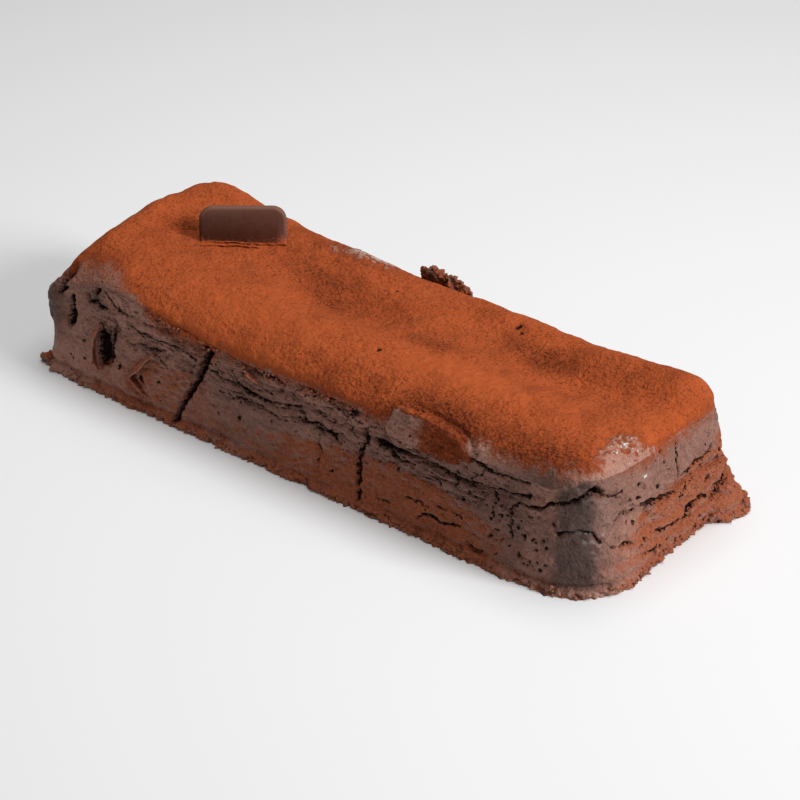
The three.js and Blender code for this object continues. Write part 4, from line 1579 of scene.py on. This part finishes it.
@dataclass
class SkinFlap:
    """A thin flap of skin on the front: its free edge stands off the side, and its left edge is sunk."""

    name: str
    edge: Path  # (x, height, lift) along the free edge
    wide: float  # from the free edge to the sunk one
    form: CakeForm
    material: bpy.types.Material
    thick: float = 0.6
    seed: int = 1
    along: int = 48
    across: int = 10

    def build(self) -> bpy.types.Object:
        """Builds the flap.

        Returns:
            The piece.
        """
        shape = bmesh.new()
        bmesh.ops.create_grid(shape, x_segments=self.along, y_segments=self.across, size=1)
        mesh = mesh_of(shape, self.name)
        unit = points_of(mesh)
        t, v = (unit[:, 0] + 1) / 2, (unit[:, 1] + 1) / 2
        steps = np.linspace(0, 1, len(self.edge))
        x, z, lift = (np.interp(t, steps, [row[i] for row in self.edge]) for i in range(3))
        taper = np.sin(math.pi * t) ** 0.6
        x = x - self.wide * v * taper + 0.3 * ripple(9 * t, 3 * v, self.seed)
        z = z + 0.4 * ripple(7 * t, 2 * v, self.seed + 3)
        points, outward = self.form.side(front(x), z)
        rise = lift * np.cos(0.5 * math.pi * v) ** 0.8 - 0.9 * v
        points += outward * (rise + 0.12 * ripple(16 * t, 5 * v, self.seed))[:, None]
        move(mesh, points)
        shell = bmesh.new()
        shell.from_mesh(mesh)
        bmesh.ops.solidify(shell, geom=shell.faces, thickness=self.thick)
        bpy.data.meshes.remove(mesh)
        mesh = mesh_of(shell, self.name)
        dress(mesh, dust=0.56, crust=1.0)
        return object_of(self.name, mesh, self.material)


@dataclass
class Crag:
    """A torn lump of cake: a rough slab with a star-shaped outline.

    The outline is in the lump's own XY plane and its thickness runs along Z, before it is posed.
    """

    name: str
    outline: Pairs
    thick: float
    pose: Matrix
    material: bpy.types.Material
    jag: float = 0.5  # height of its roughness
    bevel: float = 0.16
    rings: int = 56
    spokes: int = 120
    ragged: float = 0.0  # how uneven its outline is
    seed: int = 5
    finish: Callable[[Array], dict[str, Array]] = lambda points: {}

    def build(self) -> bpy.types.Object:
        """Builds the crag.

        Returns:
            The piece.
        """
        shape = bmesh.new()
        bmesh.ops.create_uvsphere(shape, u_segments=self.spokes, v_segments=self.rings, radius=1)
        mesh = mesh_of(shape, self.name)
        unit = points_of(mesh)
        turn = np.arctan2(unit[:, 1], unit[:, 0])
        fall = np.arccos(np.clip(unit[:, 2], -1, 1)) / math.pi
        depth = np.clip((0.5 - fall) / 0.14, -1, 1)
        depth = depth * (1.5 - 0.5 * depth * depth)
        share = np.minimum(1, np.minimum(fall, 1 - fall) / 0.38) * (1 - self.bevel * depth**4)
        middle, out = self.reach(turn)
        flat = middle + (share * out)[:, None] * np.stack([np.cos(turn), np.sin(turn)], -1)
        points = np.column_stack([flat, depth * self.thick / 2])
        move(mesh, points)
        facing = normals_of(mesh)
        coarse = rough(points, (3, 3, 3), 3, self.seed)
        fine = rough(points, (1.1, 1.1, 1.1), 3, self.seed + 1)
        points = points + facing * (self.jag * (coarse + 0.6 * fine))[:, None]
        move(mesh, points)
        dress(mesh, dust=0.5)
        for key, values in self.finish(points).items():
            store(mesh, key, values)
        mesh.transform(self.pose)
        low = points_of(mesh)[:, 2].min()
        mesh.transform(Matrix.Translation((0, 0, max(0.0, -low))))
        return object_of(self.name, mesh, self.material)

    def reach(self, turn: Array) -> tuple[Array, Array]:
        """How far the outline reaches.

        Args:
            turn: Ways to look, as angles in its plane.

        Returns:
            The outline's middle, and its distance from there each way.
        """
        corners = np.array(self.outline, float)
        middle = corners.mean(0)
        sides = zip(corners, np.roll(corners, -1, 0))
        corners = np.concatenate([np.linspace(start, end, 8, endpoint=False) for start, end in sides])
        across, up = (corners - middle).T
        angle = np.arctan2(up, across)
        order = np.argsort(angle)
        out = np.interp(turn, angle[order], np.hypot(across, up)[order], period=2 * math.pi)
        ring = np.stack([out * np.cos(turn), out * np.sin(turn), np.full_like(out, self.seed)], -1)
        return middle, out * (1 + self.ragged * rough(ring, (2.6, 2.6, 2.6), 3, self.seed))


def dress(mesh: bpy.types.Mesh, **masks: float) -> None:
    """Gives a mesh the masks of the cake's finish, the same all over, and bare crumb's where not named."""
    for name, value in {**BARE, **masks}.items():
        store(mesh, name, np.full(len(mesh.vertices), value))


def standing(y: float, z: float, lean: float, out: float) -> Matrix:
    """From a plane of (x, height) to the front or back: leans about a line along X at (y, z).

    Args:
        y: Place of the line across the cake.
        z: Its height.
        lean: Degrees that it leans in.
        out: How far the middle of the piece is in front of the origin.

    Returns:
        The matrix.
    """
    upright = Matrix.Rotation(math.radians(90), 4, "X")
    about = Matrix.Translation((0, y, z))
    turned = about @ Matrix.Rotation(math.radians(lean), 4, "X") @ about.inverted()
    return turned @ upright @ Matrix.Translation((0, 0, out))


def shard_finish(points: Array) -> dict[str, Array]:
    """Darkened crumb with rusty bits, as on a fresh break."""
    return {
        "moist_and_shade": np.clip(0.55 + 0.6 * rough(points, (2.4, 2.4, 2.4), 2, 53), 0, 1),
        "dust": 0.5 + 0.5 * rough(points, (2, 2, 2), 2, 54),
    }


def slab_finish(points: Array) -> dict[str, Array]:
    """Powder over the slab's top edge and right part, and bare crust on its left part."""
    x, z = points[:, 0], points[:, 1]
    top = ease(((35, 37), (39, 40), (53, 40), (64, 39), (73, 35)), x) + 0.8 * rough(points, (3, 3, 3), 2, 52)
    high = smooth(z, top, top + 1.4)
    along = smooth(x + 2 * rough(points, (4, 4, 4), 2, 51), 46, 56)
    thin = 0.3 + 0.4 * along
    powder = 15 * np.maximum(high * (1 - 0.5 * along), 0.62 * along) - 7
    return {"powder": powder, "dust": 0.25 + 0.5 * along, "thin": thin, "crust": np.full(x.shape, 0.5)}


@dataclass
class Crumbs:
    """Small rough crumbs in one mesh, strewn by a rule."""

    name: str
    spots: Sequence[tuple[Vector, float]]  # place and radius of each
    material: bpy.types.Material
    fine: int = 1
    dust: float = 0.5
    seed: int = 3

    def build(self) -> bpy.types.Object:
        """Builds the crumbs.

        Returns:
            The piece.
        """
        draw = random.Random(self.seed)
        shape = bmesh.new()
        for place, radius in self.spots:
            spin = Euler([draw.uniform(0, math.tau) for _ in range(3)]).to_matrix().to_4x4()
            squash = (draw.uniform(0.8, 1.3), draw.uniform(0.7, 1.1), draw.uniform(0.6, 1), 1)
            pose = Matrix.Translation(place) @ spin @ Matrix.Diagonal(squash)
            ball = bmesh.ops.create_icosphere(shape, subdivisions=self.fine, radius=radius, matrix=pose)
            for vert in ball["verts"]:
                vert.co += (vert.co - place) * draw.uniform(-0.25, 0.25)
                vert.co.z = max(vert.co.z, 0.0)
        mesh = mesh_of(shape, self.name)
        dress(mesh, dust=self.dust)
        return object_of(self.name, mesh, self.material)


@dataclass
class PowderRidge:
    """Powder that the plaque pushed up in front of itself, in two thin broken lips."""

    plaque: Plaque
    form: CakeForm
    material: bpy.types.Material
    reach: float = 5.4
    past: float = 0.6  # how far it runs past the plaque's ends
    off: float = 0.5  # gap to the plaque's middle plane
    high: float = 1.9  # height of a lip over the sunk sheet
    lips: tuple[tuple[float, float], ...] = ((1.2, 0.5), (3.9, 0.45))  # how far out, and half the width
    thick: float = 1.2
    sunk: float = 1.2
    along: int = 150
    across: int = 30

    def build(self) -> bpy.types.Object:
        """Builds the ridge.

        Returns:
            The piece.
        """
        shape = bmesh.new()
        bmesh.ops.create_grid(shape, x_segments=self.along, y_segments=self.across, size=1)
        grown = bmesh.ops.extrude_face_region(shape, geom=shape.faces[:])["geom"]
        tops = [part for part in grown if isinstance(part, bmesh.types.BMVert)]
        bmesh.ops.translate(shape, vec=(0, 0, 1), verts=tops)
        mesh = mesh_of(shape, "powder_ridge")
        unit = points_of(mesh)
        run = unit[:, 0] * (self.plaque.width / 2 + self.past)
        out = (unit[:, 1] + 1) / 2 * self.reach
        turn = math.radians(self.plaque.turn)
        x = self.plaque.place[0] + run * math.cos(turn) + (out + self.off) * math.sin(turn)
        y = self.plaque.place[1] + run * math.sin(turn) - (out + self.off) * math.cos(turn)
        flat = np.stack([run, out, np.zeros_like(run)], -1)
        wander = Grain(0.4, (9, 9, 9), 2, 31).at(flat)
        (first_out, first_wide), (second_out, second_wide) = self.lips
        first = self.high * np.exp(-(((out - first_out - wander) / first_wide) ** 2))
        second = self.high * np.exp(-(((out - second_out - 1.3 * wander) / second_wide) ** 2))
        broken = 1 + Grain(0.06, (6, 6, 6), 2, 32).at(flat)
        ends = fade(np.abs(run), self.plaque.width / 2 - 1, self.plaque.width / 2 + self.past)
        edges = smooth(out, -0.2, 0.5) * fade(out, self.reach - 1.3, self.reach)
        lift = (first + second * fade(run, 4, 9)) * broken * ends * edges
        z = self.form.dusted(x, y) - self.sunk + np.where(unit[:, 2] > 0.5, lift, -self.thick)
        move(mesh, np.stack([x, y, z], -1))
        dress(mesh, powder=12.0)
        x, y, z = points_of(mesh).T
        raised = z + self.sunk - self.form.dusted(x, y)
        # Painted shade in the valleys between the lips, and paler powder on their crests.
        store(mesh, "thin", 1 - 1.5 * smooth(raised, 1.1, 1.6))
        return object_of("powder_ridge", mesh, self.material)


def crumbs_by_foot(form: CakeForm, draw: random.Random, count: int) -> list[tuple[Vector, float]]:
    """Places and sizes of the crumbs that cling round the foot.

    Args:
        form: The cake's form.
        draw: Random source.
        count: How many.

    Returns:
        A place and a radius for each.
    """
    spots = []
    for _ in range(count):
        radius = draw.uniform(0.25, 0.85) ** 1.2
        place = np.array([draw.uniform(0, GIRTH)])
        above_foot = draw.uniform(0.4, 1.0) * radius
        height = np.array([above_foot + draw.choice((0, 0, draw.uniform(0, 2.4)))])
        point, outward = form.side(place, height)
        at = point[0] + outward[0] * draw.uniform(-0.3, 0.5) * radius
        spots.append((Vector((at[0], at[1], max(height[0], 0.62 * radius))), radius))
    return spots


TORN_AT = (-72, -63, -46, -18, 12, 22)  # places along the front where the rim is torn most


def crumbs_by_rim(form: CakeForm, draw: random.Random, count: int) -> list[tuple[Vector, float]]:
    """Places and sizes of the crumbs that the torn rim has shed on the front.

    Args:
        form: The cake's form.
        draw: Random source.
        count: How many.

    Returns:
        A place and a radius for each.
    """
    spots = []
    for _ in range(count):
        radius = draw.uniform(0.2, 0.7)
        place = np.array([front(draw.choice(TORN_AT) + draw.gauss(0, 4))])
        point, outward = form.side(place, form.rim(place) + draw.uniform(-2.4, 0))
        spots.append((Vector(point[0] + outward[0] * draw.uniform(-0.2, 0.4) * radius), radius))
    return spots


# The larger lumps at the foot's corners: x, y, height of the middle, and radius.
LUMPS = (
    (-126.2, -41.6, 1.8, 1.8),
    (-123.6, -40.6, 2.4, 2.2),
    (126.0, 41.6, 2.2, 2.1),
    (123.4, 44.0, 3.0, 1.9),
    (124.4, 39.0, 2.0, 2.4),
    (123.6, 28.4, 2.0, 2.2),
)


def lumps(material: bpy.types.Material) -> list[bpy.types.Object]:
    """The larger lumps of crumb that stick out of the foot.

    Args:
        material: Their material.

    Returns:
        One piece for each.
    """
    made = []
    for number, (x, y, z, radius) in enumerate(LUMPS):
        turns = np.linspace(0, math.tau, 12, endpoint=False)
        wide = radius * (1 + 0.12 * np.sin(3 * turns + number))
        ring = np.stack([wide * np.cos(turns), radius * np.sin(turns)], -1)
        lump = Crag(
            f"foot_lump_{number}", ring, 1.5 * radius, Matrix.Translation((x, y, z)), material,
            jag=0.9, bevel=0.45, rings=24, spokes=40, seed=41 + number,
        )
        made.append(lump.build())
    return made


# ---------------------------------------------------------------- studio

@dataclass(frozen=True)
class Softbox:
    """A square soft light: its name, place and side in millimetres, and power in watts."""

    name: str
    place: tuple[float, float, float]
    size: float
    power: float


@dataclass
class Studio:
    """Plain pale floor, soft light from above and from the right, and the camera."""

    azimuth: float = 41.0
    elevation: float = 29.5
    distance: float = 1140.0
    aim: tuple[float, float, float] = (-9.48, 20.92, 0.0)
    focal_pixels: float = 3200.0
    frame_pixels: float = 800.0
    sensor: float = 36.0
    floor_half: float = 3000.0
    floor_tone: Colour = paint(0.84, 0.84, 0.845)
    ambient: float = 0.19
    spread: float = 125.0
    softboxes: tuple[Softbox, ...] = (
        Softbox("overhead", (0, 150, 900), 800, 2.85),
        Softbox("from_the_right", (1500, 350, 850), 600, 11.4),
    )

    def camera(self) -> None:
        """Makes the camera."""
        a, e = math.radians(self.azimuth), math.radians(self.elevation)
        away = Vector((math.sin(a) * math.cos(e), -math.cos(a) * math.cos(e), math.sin(e)))
        data = bpy.data.cameras.new("camera")
        data.sensor_width = self.sensor
        data.lens = self.sensor * self.focal_pixels / self.frame_pixels
        data.clip_start, data.clip_end = 0.05, 20
        camera = bpy.data.objects.new("camera", data)
        camera.location = (Vector(self.aim) + away * self.distance) * MM
        camera.rotation_mode = "QUATERNION"
        camera.rotation_quaternion = (-away).to_track_quat("-Z", "Y")
        bpy.context.scene.collection.objects.link(camera)
        bpy.context.scene.camera = camera

    def light(self, box: Softbox) -> None:
        """Makes a soft light that faces the cake."""
        data = bpy.data.lights.new(box.name, "AREA")
        data.shape = "SQUARE"
        data.size = box.size * MM
        data.energy = box.power
        data.spread = math.radians(self.spread)
        light = bpy.data.objects.new(box.name, data)
        light.location = Vector(box.place) * MM
        light.rotation_mode = "QUATERNION"
        light.rotation_quaternion = (-Vector(box.place)).to_track_quat("-Z", "Y")
        bpy.context.scene.collection.objects.link(light)

    def floor(self) -> None:
        """Makes the floor."""
        shape = bmesh.new()
        bmesh.ops.create_grid(shape, x_segments=1, y_segments=1, size=self.floor_half * MM)
        mesh = mesh_of(shape, "floor")
        board = Board("pale_floor")
        mesh.materials.append(board.finish({"Base Color": self.floor_tone, "Roughness": 0.6}))
        floor = bpy.data.objects.new("floor", mesh)
        bpy.context.scene.collection.objects.link(floor)

    def build(self) -> None:
        """Makes the whole studio."""
        scene = bpy.context.scene
        scene.view_settings.view_transform = "Standard"
        world = bpy.data.worlds.new("studio")
        world.use_nodes = True
        sky = world.node_tree.nodes["Background"]
        sky.inputs["Color"].default_value = (1, 1, 1, 1)
        sky.inputs["Strength"].default_value = self.ambient
        scene.world = world
        self.camera()
        for box in self.softboxes:
            self.light(box)
        self.floor()


# Outlines of the slab and the shard as (x, height), and free edges of the flaps as (x, height, lift).
SLAB_OUTLINE = (
    (36, 31.6), (36.4, 37), (38.6, 41), (45, 41.8), (53, 41.6), (61, 41), (68, 39.4), (73, 36.2), (74, 33.2),
    (66, 30.2), (56, 29.4), (46, 29.4),
)
SHARD_OUTLINE = (
    (-16, 34), (-15.6, 42.4), (-12.6, 44.4), (-8, 43.2), (-3, 43.8), (1, 42.8), (6, 40.4), (7, 34),
)
FLAP_EDGE = ((-95.6, 25.4, 0.6), (-96.6, 21, 2.2), (-97.2, 16, 3), (-96.8, 11.6, 2.4), (-95.6, 8.2, 0.6))
FOLD_EDGE = ((-69.4, 22.4, 0.4), (-73.4, 17.6, 1.4), (-78.6, 11.4, 2.4), (-74.6, 8.2, 1.6), (-69.6, 5.4, 0.4))
SLIVER_EDGE = ((-28.6, 33.2, 0.5), (-24.6, 31, 1.8), (-20.4, 29, 0.8))
FOOT_CRUMBS = 1200
RIM_CRUMBS = 150


def main() -> None:
    """Builds the cake and the studio."""
    logging.basicConfig(level=logging.INFO, format="%(name)s: %(message)s")
    finish = CakeFinish().make()
    form = CakeForm()
    plaque = Plaque(PlaqueFinish().make())
    slab_pose = standing(y=-40, z=31, lean=-14, out=37.8)
    shard_pose = standing(y=41, z=38, lean=-14, out=-41.3)
    draw = random.Random(8)
    pieces = [
        CakeBody(form, SideLook(), finish).build(),
        plaque.build(),
        PowderRidge(plaque, form, finish).build(),
        SkinFlap("curled_flap", FLAP_EDGE, 3.2, form, finish).build(),
        SkinFlap("bent_ridge", FOLD_EDGE, 2.6, form, finish, seed=2).build(),
        SkinFlap("rim_sliver", SLIVER_EDGE, 1.6, form, finish, seed=4).build(),
        Crag(
            "slid_slab", SLAB_OUTLINE, 4.8, slab_pose, finish,
            jag=0.8, bevel=0.12, ragged=0.08, finish=slab_finish,
        ).build(),
        Crag(
            "back_shard", SHARD_OUTLINE, 2.4, shard_pose, finish,
            jag=1.5, ragged=0.22, finish=shard_finish,
        ).build(),
        *lumps(finish),
        Crumbs("foot_crumbs", crumbs_by_foot(form, draw, FOOT_CRUMBS), finish).build(),
        Crumbs("rim_crumbs", crumbs_by_rim(form, draw, RIM_CRUMBS), finish, dust=0.6).build(),
    ]
    for piece in pieces:
        log.info("%s: %d faces", piece.name, len(piece.data.polygons))
    Studio().build()


if __name__ == "__main__":
    main()
